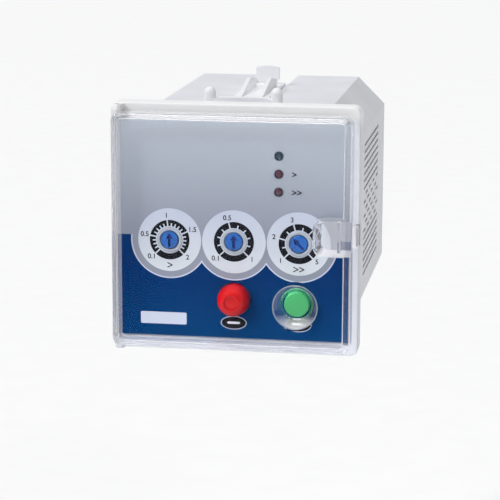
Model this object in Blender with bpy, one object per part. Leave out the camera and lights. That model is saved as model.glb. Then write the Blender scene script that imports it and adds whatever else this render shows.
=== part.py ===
"""Protection relay in a 96 mm panel housing.

X runs right, Y runs back into the panel, Z runs up, in metres. The origin is the centre of the
panel cut-out, on the plane where the flange meets the panel.
"""
import bpy
import bmesh
from math import cos, pi, radians, sin, sqrt
from mathutils import Matrix, Vector

# Clearance between neighbouring pieces
GAP = 0.0003
# Overlap that lets fused shapes share volume
WELD = 0.0006

# Front bezel
BEZEL_SIDE = 0.096
BEZEL_DEPTH = 0.0089
BEZEL_CORNER = 0.003
BEZEL_EDGE = 0.0009
FRONT_WALL = 0.002
FLANGE_THICK = 0.003
BEZEL_SIDE_WALL = 0.0021

# Printed face sheet, sunk into the bezel's front
SHEET_MARGIN_X = 0.0030
SHEET_MARGIN_Z = 0.0055
SHEET_DROP = 0.0005
SHEET_THICK = 0.0005
SHEET_SUNK = 0.0001
SHEET_CORNER = 0.001

# Settings, lamps and buttons on the face
DIAL_INSET = 0.0230
DIAL_Z = -0.0047
LAMP_INSET = 0.0308
LAMP_DROP = 0.0191
LAMP_PITCH = 0.0069
LAMP_COUNT = 3
BUTTON_LIFT = 0.0208
TEST_BUTTON_X = 0.0

KNOB_RADIUS = 0.0034
KNOB_PROUD = 0.0008
KNOB_THICK = 0.0034
KNOB_STEM_RADIUS = 0.0015
KNOB_SLOT_WIDTH = 0.0009
KNOB_SLOT_DEPTH = 0.0009
COLLAR_WALL = 0.0012
COLLAR_PROUD = 0.0003
TRIMMER_SIDE = 0.0112
KNOB_POINTER_DEG = (0.0, 0.0, -45.0)

LAMP_RADIUS = 0.0015
LAMP_PROUD = 0.0006
LAMP_RIM = 0.0004
LAMP_RIM_THICK = 0.0009
LAMP_LEG = 0.0005
LAMP_LEG_PITCH = 0.00254

TEST_RADIUS = 0.0062
TEST_PROUD = 0.0074
TEST_FACE_RADIUS = 0.0031
TEST_DISH = 0.0006
RESET_RADIUS = 0.00485
RESET_PROUD = 0.0059
BUTTON_RIM = 0.0012
BUTTON_RIM_THICK = 0.0010
BUTTON_STEM_RADIUS = 0.0022
BUTTON_TRAVEL = 0.0015
SPRING_WIRE = 0.0003
SPRING_TURNS = 4
SWITCH_SIDE = 0.006
SWITCH_THICK = 0.0034
SWITCH_PLUNGER = 0.0006

# Clear cover
COVER_MARGIN_X = 0.0023
COVER_MARGIN_Z = 0.0031
COVER_DEPTH = 0.0101
COVER_WALL = 0.0019
COVER_CORNER = 0.003
COVER_EDGE = 0.0014
HINGE_INSET = 0.0013
HINGE_PIN_RADIUS = 0.0008
HINGE_PIN_REACH = 0.0024
HINGE_EAR_RADIUS = 0.0019
FUNNEL_MOUTH_RADIUS = 0.0083
FUNNEL_THROAT_RADIUS = 0.0054
FUNNEL_DEPTH = 0.0055
FUNNEL_WALL = 0.0013
LATCH_Z = -0.0006
LATCH_HEIGHT = 0.0140
LATCH_LENGTH = 0.0132
LATCH_WALL = 0.0013
LATCH_FLOOR_RISE = 0.0021
LATCH_RIB_INSET = 0.0047
LATCH_RIB_THICK = 0.0012
LATCH_RIB_RISE = 0.0040
HOOK_HEIGHT = 0.0080
HOOK_THICK = 0.0009
HOOK_REACH = 0.0037
NOTCH_DEPTH = 0.0013

# Octagonal body case
CASE_MARGIN_X = 0.0025
CASE_MARGIN_Z = 0.0033
CASE_CHAMFER = 0.0114
CASE_LENGTH = 0.116
CASE_WALL = 0.002
SNAP_RISE = 0.0007
SNAP_WIDTH = 0.010
SNAP_X = 0.025
CHANNEL_WIDTH = 0.0154
CHANNEL_DEPTH = 0.0039
CLIP_SLOT_WIDTH = 0.0036
CLIP_SLOT_START = 0.0075
VENT_START = 0.032
VENT_LENGTH = 0.058
VENT_HEIGHT = 0.0012
VENT_PITCH = 0.0029
VENT_TOP_Z = 0.0274
VENT_ROWS_UPPER = 7
VENT_ROWS_MIDDLE = 6
VENT_ROWS_LOWER = 6
VENT_SHORT = 0.009
VENT_SHORT_COUNT = 4

# Mounting clips
CLIP_FRONT = 0.010
CLIP_BACK = 0.078
CLIP_PROUD = 0.0013
CLIP_BAR_THICK = 0.0048
CLIP_BAR_HALF = 0.0158
CLIP_BAR_TOP_HALF = 0.0095
CLIP_BAR_RISE = 0.0034
CLIP_POST_X = 0.0131
CLIP_POST_RADIUS = 0.0024
CLIP_POST_RISE = 0.0074
CLIP_GUSSET_X = 0.0042
CLIP_GUSSET_THICK = 0.0017
CLIP_GUSSET_START = 0.0285
CLIP_GUSSET_PEAK = 0.0525
CLIP_GUSSET_RISE = 0.0063
CLIP_GUSSET_SPACE = 0.0080
CLIP_GUSSET_FALL = 0.0021
CLIP_PLATE_THICK = 0.0020
CLIP_PLATE_HALF = 0.0049
CLIP_PLATE_RISE = 0.0078
CLIP_PLATE_ARCH = 0.0007
CLIP_PLATE_NECK = 0.0036
CLIP_PLATE_SHOULDER = 0.0016
CLIP_FOOT_HEAD = 0.0066
CLIP_FOOT_THICK = 0.0012
CLIP_FOOT_START = 0.022
CLIP_FOOT_LENGTH = 0.040

# Circuit boards
BOARD_THICK = 0.0016
FRONT_BOARD_Y = 0.004
FRONT_BOARD_CLEAR_X = 0.0035
FRONT_BOARD_CLEAR_Z = 0.0067
BOARD_CORNER = 0.003
BOARD_SCREW_INSET = 0.004
MAIN_BOARD_LIFT = 0.0088
MAIN_BOARD_START = 0.009
MAIN_BOARD_END_GAP = 0.005
RAIL_RISE = 0.0019
RAIL_REACH = 0.0030
REAR_BOARD_GAP = 0.0109
REAR_BOARD_INSET = 0.0055
REAR_BOARD_DROP = 0.0157
SCREW_RADIUS = 0.0012
SCREW_HEAD_RADIUS = 0.0025
SCREW_HEAD_THICK = 0.0018
PILLAR_RADIUS = 0.003

# Rear panel and terminals
REAR_PANEL_THICK = 0.004
REAR_SCREW_INSET = 0.0110
REAR_PILLAR_LENGTH = 0.018
REAR_PILLAR_RADIUS = 0.0034
TERMINAL_COUNT = 7
TERMINAL_ROW_INSET = 0.0120
TERMINAL_ROW_DROP = 0.0200
TERMINAL_BLOCK_HEIGHT = 0.0154
TERMINAL_BLOCK_PROUD = 0.006
TERMINAL_FLANGE = 0.0010
TERMINAL_FLANGE_THICK = 0.002
TERMINAL_PARTITION = 0.0014
TERMINAL_POCKET_DEPTH = 0.0048
TERMINAL_TAG_THICK = 0.0008
TERMINAL_TAG_MARGIN = 0.0006
TERMINAL_CLAMP_MARGIN = 0.0007
TERMINAL_TAIL_INSET = 0.0024
TERMINAL_SCREW_RADIUS = 0.0015
TERMINAL_HEAD_RADIUS = 0.0026
TERMINAL_HEAD_THICK = 0.0018
TERMINAL_TAIL = 0.0012

# Parts on the main board
TRANSFORMER_INSET = 0.0035
TRANSFORMER_REAR_GAP = 0.0225
SUPPLY_WIDTH = 0.038
INPUT_WIDTH = 0.024
INPUT_INSET = 0.0050
INPUT_REAR_GAP = 0.0035
CORE_HEIGHT_RATIO = 0.83
CORE_DEPTH_RATIO = 0.37
RELAY_COUNT = 2
RELAY_WIDTH = 0.0102
RELAY_LENGTH = 0.0275
RELAY_HEIGHT = 0.0157
RELAY_SPACING = 0.0026
RELAY_INSET = 0.0040
RELAY_START = 0.0305
RELAY_EDGE = 0.0006
CAPACITOR_RADII = (0.0050, 0.0062)
CAPACITOR_HEIGHTS = (0.018, 0.024)
CAPACITOR_INSET = 0.0060
CAPACITOR_SPACING = 0.0040
CAPACITOR_Y = 0.0225
CHIP_LENGTH = 0.025
CHIP_WIDTH = 0.0064
CHIP_THICK = 0.0033
CHIP_LIFT = 0.0008
CHIP_INSET = 0.0090
CHIP_Y = 0.026
CHIP_LEGS = 8
CHIP_LEG = 0.0006
LINK_WIDTH = 0.027
LINK_HEIGHT = 0.0052
LINK_LENGTH = 0.0062
LINK_WAYS = 10

# Values that follow from the ones above
BEZEL_HALF = BEZEL_SIDE / 2
FRONT_Y = -BEZEL_DEPTH
SHEET_FRONT = FRONT_Y + SHEET_SUNK
SHEET_BACK = SHEET_FRONT + SHEET_THICK
RECESS_Y = SHEET_BACK + GAP
PANEL_BACK = RECESS_Y + FRONT_WALL
SHEET_HALF_X = BEZEL_HALF - SHEET_MARGIN_X
SHEET_HALF_Z = BEZEL_HALF - SHEET_MARGIN_Z
CASE_HALF_X = BEZEL_HALF - CASE_MARGIN_X
CASE_HALF_Z = BEZEL_HALF - CASE_MARGIN_Z
CASE_FRONT = PANEL_BACK + GAP
COVER_HALF_X = BEZEL_HALF - COVER_MARGIN_X
COVER_HALF_Z = BEZEL_HALF - COVER_MARGIN_Z
COVER_BACK = FRONT_Y - GAP
COVER_FRONT = FRONT_Y - COVER_DEPTH
COVER_INSIDE = COVER_FRONT + COVER_WALL
HINGE_X = -COVER_HALF_X + HINGE_INSET
HINGE_Y = FRONT_Y - GAP - HINGE_EAR_RADIUS + WELD / 2
RESET_BUTTON_X = BEZEL_HALF - DIAL_INSET
DIAL_XS = (-RESET_BUTTON_X, 0.0, RESET_BUTTON_X)
BUTTON_Z = -BEZEL_HALF + BUTTON_LIFT
LAMP_X = BEZEL_HALF - LAMP_INSET
LAMP_ZS = [BEZEL_HALF - LAMP_DROP - i * LAMP_PITCH for i in range(LAMP_COUNT)]
LATCH_RIB_X = COVER_HALF_X - LATCH_RIB_INSET
COLLAR_RADIUS = KNOB_RADIUS + GAP + COLLAR_WALL
INNER_HALF_X = CASE_HALF_X - CASE_WALL
CHANNEL_FLOOR_Z = CASE_HALF_Z - CHANNEL_DEPTH
REAR_PANEL_Y = CASE_LENGTH - REAR_PANEL_THICK
BOARD_HALF_X = INNER_HALF_X - FRONT_BOARD_CLEAR_X
BOARD_HALF_Z = CASE_HALF_Z - CASE_WALL - FRONT_BOARD_CLEAR_Z
BOARD_SCREW_X = BOARD_HALF_X - BOARD_SCREW_INSET
BOARD_SCREW_Z = BOARD_HALF_Z - BOARD_SCREW_INSET
MAIN_BOARD_Z = -(CHANNEL_FLOOR_Z - CASE_WALL - MAIN_BOARD_LIFT)
MAIN_BOARD_END = REAR_PANEL_Y - MAIN_BOARD_END_GAP
REAR_BOARD_Y = REAR_PANEL_Y - REAR_BOARD_GAP - BOARD_THICK
REAR_BOARD_BACK = REAR_BOARD_Y + BOARD_THICK
REAR_BOARD_HALF_X = INNER_HALF_X - REAR_BOARD_INSET
REAR_BOARD_TOP = CASE_HALF_Z - REAR_BOARD_DROP
REAR_SCREW_POSITION = CASE_HALF_X - REAR_SCREW_INSET
TERMINAL_PITCH = 2 * (INNER_HALF_X - TERMINAL_ROW_INSET) / TERMINAL_COUNT
TERMINAL_ROW_Z = CASE_HALF_Z - TERMINAL_ROW_DROP - TERMINAL_BLOCK_HEIGHT / 2
TERMINAL_POCKET_WIDTH = TERMINAL_PITCH - TERMINAL_PARTITION
TERMINAL_TAG_WIDTH = TERMINAL_POCKET_WIDTH - 2 * TERMINAL_TAG_MARGIN
TERMINAL_CLAMP_SIDE = TERMINAL_POCKET_WIDTH - 2 * TERMINAL_CLAMP_MARGIN
BLOCK_FRONT = REAR_BOARD_BACK + GAP
BLOCK_BACK = CASE_LENGTH + TERMINAL_BLOCK_PROUD
POCKET_FLOOR = BLOCK_BACK - TERMINAL_POCKET_DEPTH
BOARD_TOP = MAIN_BOARD_Z + BOARD_THICK / 2 + GAP


def finish(name, colour, roughness, metallic=0.0, transmission=0.0):
    """Principled material with one colour."""
    material = bpy.data.materials.new(name)
    material.use_nodes = True
    shader = material.node_tree.nodes["Principled BSDF"]
    shader.inputs["Base Color"].default_value = (*colour, 1.0)
    shader.inputs["Roughness"].default_value = roughness
    shader.inputs["Metallic"].default_value = metallic
    shader.inputs["Transmission Weight"].default_value = transmission
    material.diffuse_color = (*colour, 1.0)
    return material


def as_object(name, bm, material):
    """Turn a bmesh into a linked object with outward faces."""
    bmesh.ops.recalc_face_normals(bm, faces=bm.faces)
    mesh = bpy.data.meshes.new(name)
    bm.to_mesh(mesh)
    bm.free()
    obj = bpy.data.objects.new(name, mesh)
    bpy.context.collection.objects.link(obj)
    if material:
        mesh.materials.append(material)
    return obj


def rectangle(half_x, half_z, centre=(0.0, 0.0)):
    x, z = centre
    return [(x - half_x, z - half_z), (x + half_x, z - half_z), (x + half_x, z + half_z), (x - half_x, z + half_z)]


def rounded_rectangle(half_x, half_z, radius, steps=4, centre=(0.0, 0.0)):
    points = []
    for sx, sz, start in ((1, -1, -90), (1, 1, 0), (-1, 1, 90), (-1, -1, 180)):
        for step in range(steps + 1):
            angle = radians(start + 90 * step / steps)
            points.append((centre[0] + sx * (half_x - radius) + radius * cos(angle),
                           centre[1] + sz * (half_z - radius) + radius * sin(angle)))
    return points


def circle(radius, sides, centre=(0.0, 0.0)):
    return [(centre[0] + radius * cos(2 * pi * i / sides), centre[1] + radius * sin(2 * pi * i / sides))
            for i in range(sides)]


def inset(outline, distance):
    """Move each edge of a counter-clockwise outline inwards and meet the edges again."""
    moved = []
    count = len(outline)
    for i in range(count):
        before = Vector(outline[i - 1])
        here = Vector(outline[i])
        after = Vector(outline[(i + 1) % count])
        first = (here - before).normalized()
        second = (after - here).normalized()
        normal_first = Vector((-first.y, first.x))
        normal_second = Vector((-second.y, second.x))
        corner = (normal_first + normal_second).normalized()
        moved.append(tuple(here + corner * (distance / corner.dot(normal_first))))
    return moved


def case_outline():
    """Octagon with a trapezoid channel in the middle of its top and of its bottom."""
    x, z, chamfer = CASE_HALF_X, CASE_HALF_Z, CASE_CHAMFER
    rim = CHANNEL_WIDTH / 2
    floor = rim - CHANNEL_DEPTH
    upper = [(x, z - chamfer), (x - chamfer, z), (rim, z), (floor, CHANNEL_FLOOR_Z),
             (-floor, CHANNEL_FLOOR_Z), (-rim, z), (-x + chamfer, z), (-x, z - chamfer)]
    return upper + [(-px, -pz) for px, pz in upper]


def prism(name, outline, front, back, material=None):
    """Extrude an outline of (x, z) points along Y."""
    bm = bmesh.new()
    face = bm.faces.new([bm.verts.new((x, front, z)) for x, z in outline])
    grown = bmesh.ops.extrude_face_region(bm, geom=[face])
    tops = [v for v in grown["geom"] if isinstance(v, bmesh.types.BMVert)]
    bmesh.ops.translate(bm, verts=tops, vec=(0, back - front, 0))
    return as_object(name, bm, material)


def loft(name, sections, material=None):
    """Closed skin over outlines that have the same number of points, each given with its Y."""
    bm = bmesh.new()
    rings = [[bm.verts.new((x, y, z)) for x, z in outline] for y, outline in sections]
    count = len(rings[0])
    for ring, following in zip(rings, rings[1:]):
        for i in range(count):
            bm.faces.new((ring[i], ring[(i + 1) % count], following[(i + 1) % count], following[i]))
    bm.faces.new(rings[0])
    bm.faces.new(rings[-1])
    return as_object(name, bm, material)


def side_prism(name, outline, left, right, material=None):
    """Extrude an outline of (y, z) points along X."""
    bm = bmesh.new()
    face = bm.faces.new([bm.verts.new((left, y, z)) for y, z in outline])
    grown = bmesh.ops.extrude_face_region(bm, geom=[face])
    tops = [v for v in grown["geom"] if isinstance(v, bmesh.types.BMVert)]
    bmesh.ops.translate(bm, verts=tops, vec=(right - left, 0, 0))
    return as_object(name, bm, material)


def blocks(name, boxes, material=None):
    """One object of separate boxes, each given by its lowest and highest corner."""
    bm = bmesh.new()
    for low, high in boxes:
        low, high = Vector(low), Vector(high)
        matrix = Matrix.Translation((low + high) / 2) @ Matrix.Diagonal((*(high - low), 1.0))
        bmesh.ops.create_cube(bm, size=1.0, matrix=matrix)
    return as_object(name, bm, material)


def block(name, low, high, material=None):
    return blocks(name, [(low, high)], material)


def turned(name, profile, centre, sides, material=None, axis="Y"):
    """Revolve a profile of (radius, distance) points about an axis through centre."""
    bm = bmesh.new()
    verts = [bm.verts.new((radius, distance, 0)) for radius, distance in profile]
    edges = [bm.edges.new(pair) for pair in zip(verts, verts[1:])]
    if profile[0][0] > 0:
        edges.append(bm.edges.new((verts[-1], verts[0])))
    bmesh.ops.spin(bm, geom=verts + edges, cent=(0, 0, 0), axis=(0, 1, 0), dvec=(0, 0, 0),
                   angle=2 * pi, steps=sides, use_merge=True, use_duplicate=False)
    bmesh.ops.remove_doubles(bm, verts=bm.verts, dist=0.000002)
    if axis == "Z":
        bmesh.ops.rotate(bm, verts=bm.verts, cent=(0, 0, 0), matrix=Matrix.Rotation(radians(90), 3, "X"))
    bmesh.ops.translate(bm, verts=bm.verts, vec=centre)
    return as_object(name, bm, material)


def combine(target, tools, operation):
    """Apply Boolean modifiers to the target and clear the tools away."""
    for tool in tools:
        modifier = target.modifiers.new(operation, "BOOLEAN")
        modifier.operation = operation
        modifier.solver = "EXACT"
        modifier.object = tool
    graph = bpy.context.evaluated_depsgraph_get()
    shaped = bpy.data.meshes.new_from_object(target.evaluated_get(graph))
    target.modifiers.clear()
    plain = target.data
    target.data = shaped
    bpy.data.meshes.remove(plain)
    shaped.name = target.name
    for tool in tools:
        bpy.data.objects.remove(tool)
    return target


def carve(target, *tools):
    return combine(target, tools, "DIFFERENCE")


def fuse(target, *tools):
    return combine(target, tools, "UNION")


def bevel(target, width, chosen, segments=2):
    """Round the edges whose two ends both pass the test."""
    bm = bmesh.new()
    bm.from_mesh(target.data)
    edges = [e for e in bm.edges if all(chosen(v.co) for v in e.verts)]
    bmesh.ops.bevel(bm, geom=edges, offset=width, segments=segments, profile=0.5, affect="EDGES",
                    offset_type="OFFSET", clamp_overlap=True)
    bm.to_mesh(target.data)
    bm.free()
    return target


def smooth(obj, angle=32):
    obj.data.shade_smooth()
    obj.data.set_sharp_from_angle(angle=radians(angle))
    return obj


def place_origin(obj, point):
    """Move an object's origin to a point without moving its shape."""
    obj.data.transform(Matrix.Translation(-Vector(point)))
    obj.location = point
    return obj


def near(value, target):
    return abs(value - target) < 0.00001


def rod(radius, centre, front, back, sides=16):
    """Plain cylinder along Y, used as a tool or as a stub."""
    return prism("rod", circle(radius, sides, centre), front, back)


def make_bezel(material):
    """Square front frame: recessed face, hollow back and a flange that lies on the panel."""
    bezel = prism("front_bezel", rounded_rectangle(BEZEL_HALF, BEZEL_HALF, BEZEL_CORNER), FRONT_Y, 0.0, material)
    bevel(bezel, BEZEL_EDGE, lambda co: near(co.y, FRONT_Y))
    recess = prism("recess", rounded_rectangle(SHEET_HALF_X + GAP, SHEET_HALF_Z + GAP, SHEET_CORNER, 2,
                                               (0, -SHEET_DROP)), FRONT_Y - WELD, RECESS_Y)
    hollow_half = BEZEL_HALF - BEZEL_SIDE_WALL
    hollow = prism("hollow", rectangle(hollow_half, hollow_half), PANEL_BACK, -FLANGE_THICK)
    opening = prism("opening", inset(case_outline(), -GAP), -FLANGE_THICK - WELD, WELD)
    carve(bezel, recess, hollow, opening)
    pillars = [rod(PILLAR_RADIUS, (sx * BOARD_SCREW_X, sz * BOARD_SCREW_Z), PANEL_BACK - WELD,
                   FRONT_BOARD_Y - GAP, 12) for sx in (-1, 1) for sz in (-1, 1)]
    fuse(bezel, *pillars, *hinge_ears())
    pilots = [rod(SCREW_RADIUS + GAP, (sx * BOARD_SCREW_X, sz * BOARD_SCREW_Z), PANEL_BACK + FRONT_WALL,
                  FRONT_BOARD_Y + WELD, 8) for sx in (-1, 1) for sz in (-1, 1)]
    carve(bezel, *face_holes(RECESS_Y - WELD, PANEL_BACK + WELD, 0.0), *pilots, latch_notch(), hinge_bore())
    return bezel


def hinge_ears():
    """Two small ears at the left of the bezel that hold the cover's pins."""
    ears = []
    for side in (-1, 1):
        low = side * (COVER_HALF_Z + GAP)
        high = side * (COVER_HALF_Z + HINGE_PIN_REACH + GAP)
        low, high = min(low, high), max(low, high)
        profile = [(0, low), (HINGE_EAR_RADIUS, low), (HINGE_EAR_RADIUS, high), (0, high)]
        knuckle = turned("knuckle", profile, (0, 0, 0), 12)
        knuckle.data.transform(Matrix.Translation((HINGE_X, HINGE_Y, 0)) @ Matrix.Rotation(radians(90), 4, "X"))
        foot = block("foot", (HINGE_X - HINGE_EAR_RADIUS, HINGE_Y, low),
                     (HINGE_X + HINGE_EAR_RADIUS, FRONT_Y + WELD, high))
        ears += [knuckle, foot]
    return ears


def upright_rod(radius, x, y, low, high, sides=12):
    """Plain cylinder along Z."""
    bm = bmesh.new()
    face = bm.faces.new([bm.verts.new((px, py, low)) for px, py in circle(radius, sides, (x, y))])
    grown = bmesh.ops.extrude_face_region(bm, geom=[face])
    tops = [v for v in grown["geom"] if isinstance(v, bmesh.types.BMVert)]
    bmesh.ops.translate(bm, verts=tops, vec=(0, 0, high - low))
    return as_object("rod", bm, None)


def hinge_bore():
    reach = COVER_HALF_Z + HINGE_PIN_REACH + 2 * GAP
    return upright_rod(HINGE_PIN_RADIUS + GAP, HINGE_X, HINGE_Y, -reach, reach)


def face_holes(front, back, extra):
    """Holes for collars, lamps and buttons, through the front wall and through the sheet."""
    holes = [rod(COLLAR_RADIUS + GAP + extra, (x, DIAL_Z), front, back, 20) for x in DIAL_XS]
    holes += [rod(LAMP_RADIUS + GAP + extra, (LAMP_X, z), front, back, 12) for z in LAMP_ZS]
    holes.append(rod(TEST_RADIUS + GAP + extra, (TEST_BUTTON_X, BUTTON_Z), front, back, 24))
    holes.append(rod(RESET_RADIUS + GAP + extra, (RESET_BUTTON_X, BUTTON_Z), front, back, 24))
    return holes


def latch_notch():
    """Scoop in the right rim of the bezel that takes the latch hook."""
    half = HOOK_HEIGHT / 2 + GAP
    return block("notch", (BEZEL_HALF - NOTCH_DEPTH, FRONT_Y - WELD, LATCH_Z - half),
                 (BEZEL_HALF + WELD, FRONT_Y + HOOK_REACH + 2 * GAP, LATCH_Z + half))


def make_sheet(material):
    """Printed face sheet with its holes."""
    outline = rounded_rectangle(SHEET_HALF_X, SHEET_HALF_Z, SHEET_CORNER, 2, (0, -SHEET_DROP))
    sheet = prism("face_sheet", outline, SHEET_FRONT, SHEET_BACK, material)
    return carve(sheet, *face_holes(SHEET_FRONT - WELD, SHEET_BACK + WELD, 0.0))


def make_case(material):
    """Octagonal tube with side vents, clip channels, board rails and rear pillars."""
    outer = case_outline()
    case = prism("body_case", outer, CASE_FRONT, CASE_LENGTH, material)
    carve(case, prism("bore", inset(outer, CASE_WALL), CASE_FRONT - WELD, CASE_LENGTH + WELD))
    snap_front, snap_back = -FLANGE_THICK - SNAP_WIDTH / 5, -FLANGE_THICK - GAP
    additions = []
    for side in (-1, 1):
        for x in (-SNAP_X, SNAP_X):
            low, high = sorted((side * (CASE_HALF_Z - WELD), side * (CASE_HALF_Z + SNAP_RISE)))
            additions.append(block("snap", (x - SNAP_WIDTH / 2, snap_front, low), (x + SNAP_WIDTH / 2, snap_back, high)))
        for edge in (-1, 1):
            face = MAIN_BOARD_Z + edge * (BOARD_THICK / 2 + GAP)
            low, high = sorted((face, face + edge * RAIL_RISE))
            left, right = sorted((side * (INNER_HALF_X - RAIL_REACH), side * (INNER_HALF_X + WELD)))
            additions.append(block("rail", (left, MAIN_BOARD_START, low), (right, MAIN_BOARD_END, high)))
        for corner in (-1, 1):
            additions += rear_pillar(side, corner)
    fuse(case, *additions)
    cutters = [blocks("vents", vent_boxes(-1) + vent_boxes(1))]
    slot = CLIP_SLOT_WIDTH / 2
    for side in (-1, 1):
        low, high = sorted((side * (CHANNEL_FLOOR_Z - CASE_WALL - WELD), side * (CHANNEL_FLOOR_Z + WELD)))
        cutters.append(block("slot", (-slot, CLIP_SLOT_START, low), (slot, CASE_LENGTH + WELD, high)))
    for sx in (-1, 1):
        for sz in (-1, 1):
            centre = (sx * REAR_SCREW_POSITION, sz * REAR_SCREW_POSITION)
            cutters.append(rod(SCREW_RADIUS + GAP, centre, REAR_PANEL_Y - REAR_PILLAR_LENGTH + 2 * WELD,
                               REAR_PANEL_Y, 8))
    return carve(case, *cutters)


def rear_pillar(sx, sz):
    """Screw pillar with the web that ties it to the chamfered wall."""
    position = REAR_SCREW_POSITION
    front, back = REAR_PANEL_Y - REAR_PILLAR_LENGTH, REAR_PANEL_Y - GAP
    pillar = rod(REAR_PILLAR_RADIUS, (sx * position, sz * position), front, back, 12)
    wall_distance = (CASE_HALF_X + CASE_HALF_Z - CASE_CHAMFER) / sqrt(2) - CASE_WALL
    reach = wall_distance - sqrt(2) * position + WELD
    web = prism("web", rectangle(reach / 2 + WELD, REAR_PILLAR_RADIUS / 2, (reach / 2 - WELD, 0)), front, back)
    spin = Matrix.Rotation(-radians(45) if sx * sz > 0 else radians(45), 4, "Y")
    if sx < 0:
        spin = Matrix.Rotation(pi, 4, "Y") @ spin
    web.data.transform(Matrix.Translation((sx * position, 0, sz * position)) @ spin)
    return [pillar, web]


def vent_boxes(side):
    """Cooling slots through one side wall: long rows, short staggered rows, long rows."""
    left, right = sorted((side * (INNER_HALF_X - WELD), side * (CASE_HALF_X + WELD)))
    boxes = []
    step = (VENT_LENGTH - VENT_SHORT) / (VENT_SHORT_COUNT - 0.5)
    for row in range(VENT_ROWS_UPPER + VENT_ROWS_MIDDLE + VENT_ROWS_LOWER):
        z = VENT_TOP_Z - row * VENT_PITCH
        starts = [(VENT_START, VENT_LENGTH)]
        if VENT_ROWS_UPPER <= row < VENT_ROWS_UPPER + VENT_ROWS_MIDDLE:
            shift = step / 2 if row % 2 else 0.0
            starts = [(VENT_START + shift + i * step, VENT_SHORT) for i in range(VENT_SHORT_COUNT)]
        for start, length in starts:
            boxes.append(((left, start, z - VENT_HEIGHT / 2), (right, start + length, z + VENT_HEIGHT / 2)))
    return boxes


def make_cover(material):
    """Clear cover: shell, funnel over the reset button, finger latch with hook, hinge pins."""
    shell = loft("clear_cover", [(COVER_BACK, cover_outline(0, 1)), (COVER_FRONT + COVER_EDGE, cover_outline(0, 1)),
                                 (COVER_FRONT + COVER_EDGE * 0.3, cover_outline(COVER_EDGE * 0.3, 0.8)),
                                 (COVER_FRONT, cover_outline(COVER_EDGE, 0.6))], material)
    wall = COVER_WALL
    carve(shell, loft("inside", [(COVER_BACK + WELD, cover_outline(wall, 0.5)),
                                 (COVER_INSIDE + COVER_EDGE, cover_outline(wall, 0.5)),
                                 (COVER_INSIDE, cover_outline(wall + COVER_EDGE, 0.3))]))
    funnel_back = COVER_FRONT + FUNNEL_DEPTH
    reset = (RESET_BUTTON_X, 0, BUTTON_Z)
    funnel = turned("funnel", [(0, COVER_INSIDE - WELD), (FUNNEL_MOUTH_RADIUS + FUNNEL_WALL, COVER_INSIDE - WELD),
                               (FUNNEL_THROAT_RADIUS + FUNNEL_WALL, funnel_back), (0, funnel_back)], reset, 28)
    floor_back = FRONT_Y - LATCH_FLOOR_RISE
    floor_front = floor_back - LATCH_WALL
    pocket_shell = prism("pocket_shell", latch_outline(0.0, COVER_HALF_X - COVER_WALL / 2),
                         COVER_FRONT + COVER_EDGE, floor_back)
    hook_out = BEZEL_HALF - NOTCH_DEPTH + GAP
    tongue_half = HOOK_HEIGHT / 2
    tongue = block("tongue", (COVER_HALF_X - COVER_WALL, floor_front, LATCH_Z - tongue_half),
                   (hook_out + HOOK_THICK, floor_back, LATCH_Z + tongue_half))
    hook = block("hook", (hook_out, floor_front + GAP, LATCH_Z - tongue_half + GAP / 2),
                 (hook_out + HOOK_THICK - GAP / 3, FRONT_Y + HOOK_REACH, LATCH_Z + tongue_half - GAP / 2))
    pin_reach = COVER_HALF_Z + HINGE_PIN_REACH
    pins = [upright_rod(HINGE_PIN_RADIUS, HINGE_X, HINGE_Y, *sorted((side * (COVER_HALF_Z - WELD), side * pin_reach)))
            for side in (-1, 1)]
    fuse(shell, funnel, pocket_shell, tongue, hook, *pins)
    mouth = turned("mouth", [(0, COVER_FRONT - WELD),
                             (FUNNEL_MOUTH_RADIUS + WELD * (FUNNEL_MOUTH_RADIUS - FUNNEL_THROAT_RADIUS)
                              / FUNNEL_DEPTH, COVER_FRONT - WELD),
                             (FUNNEL_THROAT_RADIUS, funnel_back), (FUNNEL_THROAT_RADIUS, funnel_back + WELD),
                             (0, funnel_back + WELD)], reset, 28)
    pocket = prism("pocket", latch_outline(LATCH_WALL, COVER_HALF_X + WELD), COVER_FRONT - WELD, floor_front)
    rib_half = LATCH_HEIGHT / 2 - LATCH_WALL + WELD
    rib = block("rib", (LATCH_RIB_X - LATCH_RIB_THICK / 2, floor_front - LATCH_RIB_RISE, LATCH_Z - rib_half),
                (LATCH_RIB_X + LATCH_RIB_THICK / 2, floor_front + WELD, LATCH_Z + rib_half))
    heel = side_edge_cut()
    carve(shell, mouth, pocket, heel)
    fuse(shell, rib)
    return place_origin(shell, (HINGE_X, HINGE_Y, 0))


def latch_outline(margin, right):
    """Finger pocket seen from the front: square at the right, half round at the left."""
    radius = LATCH_HEIGHT / 2 - margin
    centre = COVER_HALF_X - LATCH_LENGTH + LATCH_HEIGHT / 2
    arc = [(centre + radius * cos(radians(90 + 15 * i)), LATCH_Z + radius * sin(radians(90 + 15 * i)))
           for i in range(13)]
    return [(right, LATCH_Z - radius), (right, LATCH_Z + radius)] + arc


def cover_outline(margin, rounding):
    """Outline of the cover moved inwards, with a share of its corner radius."""
    return rounded_rectangle(COVER_HALF_X - margin, COVER_HALF_Z - margin, COVER_CORNER * rounding)


def side_edge_cut():
    """Chamfer along the hinge edge so that the cover clears the bezel as it swings."""
    size = HINGE_INSET
    reach = COVER_HALF_Z + WELD
    bm = bmesh.new()
    corners = [(-COVER_HALF_X - WELD, COVER_BACK - size), (-COVER_HALF_X - WELD, COVER_BACK + WELD),
               (-COVER_HALF_X + size + WELD, COVER_BACK + WELD)]
    face = bm.faces.new([bm.verts.new((x, y, -reach)) for x, y in corners])
    grown = bmesh.ops.extrude_face_region(bm, geom=[face])
    tops = [v for v in grown["geom"] if isinstance(v, bmesh.types.BMVert)]
    bmesh.ops.translate(bm, verts=tops, vec=(0, 0, 2 * reach))
    return as_object("heel", bm, None)


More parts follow.
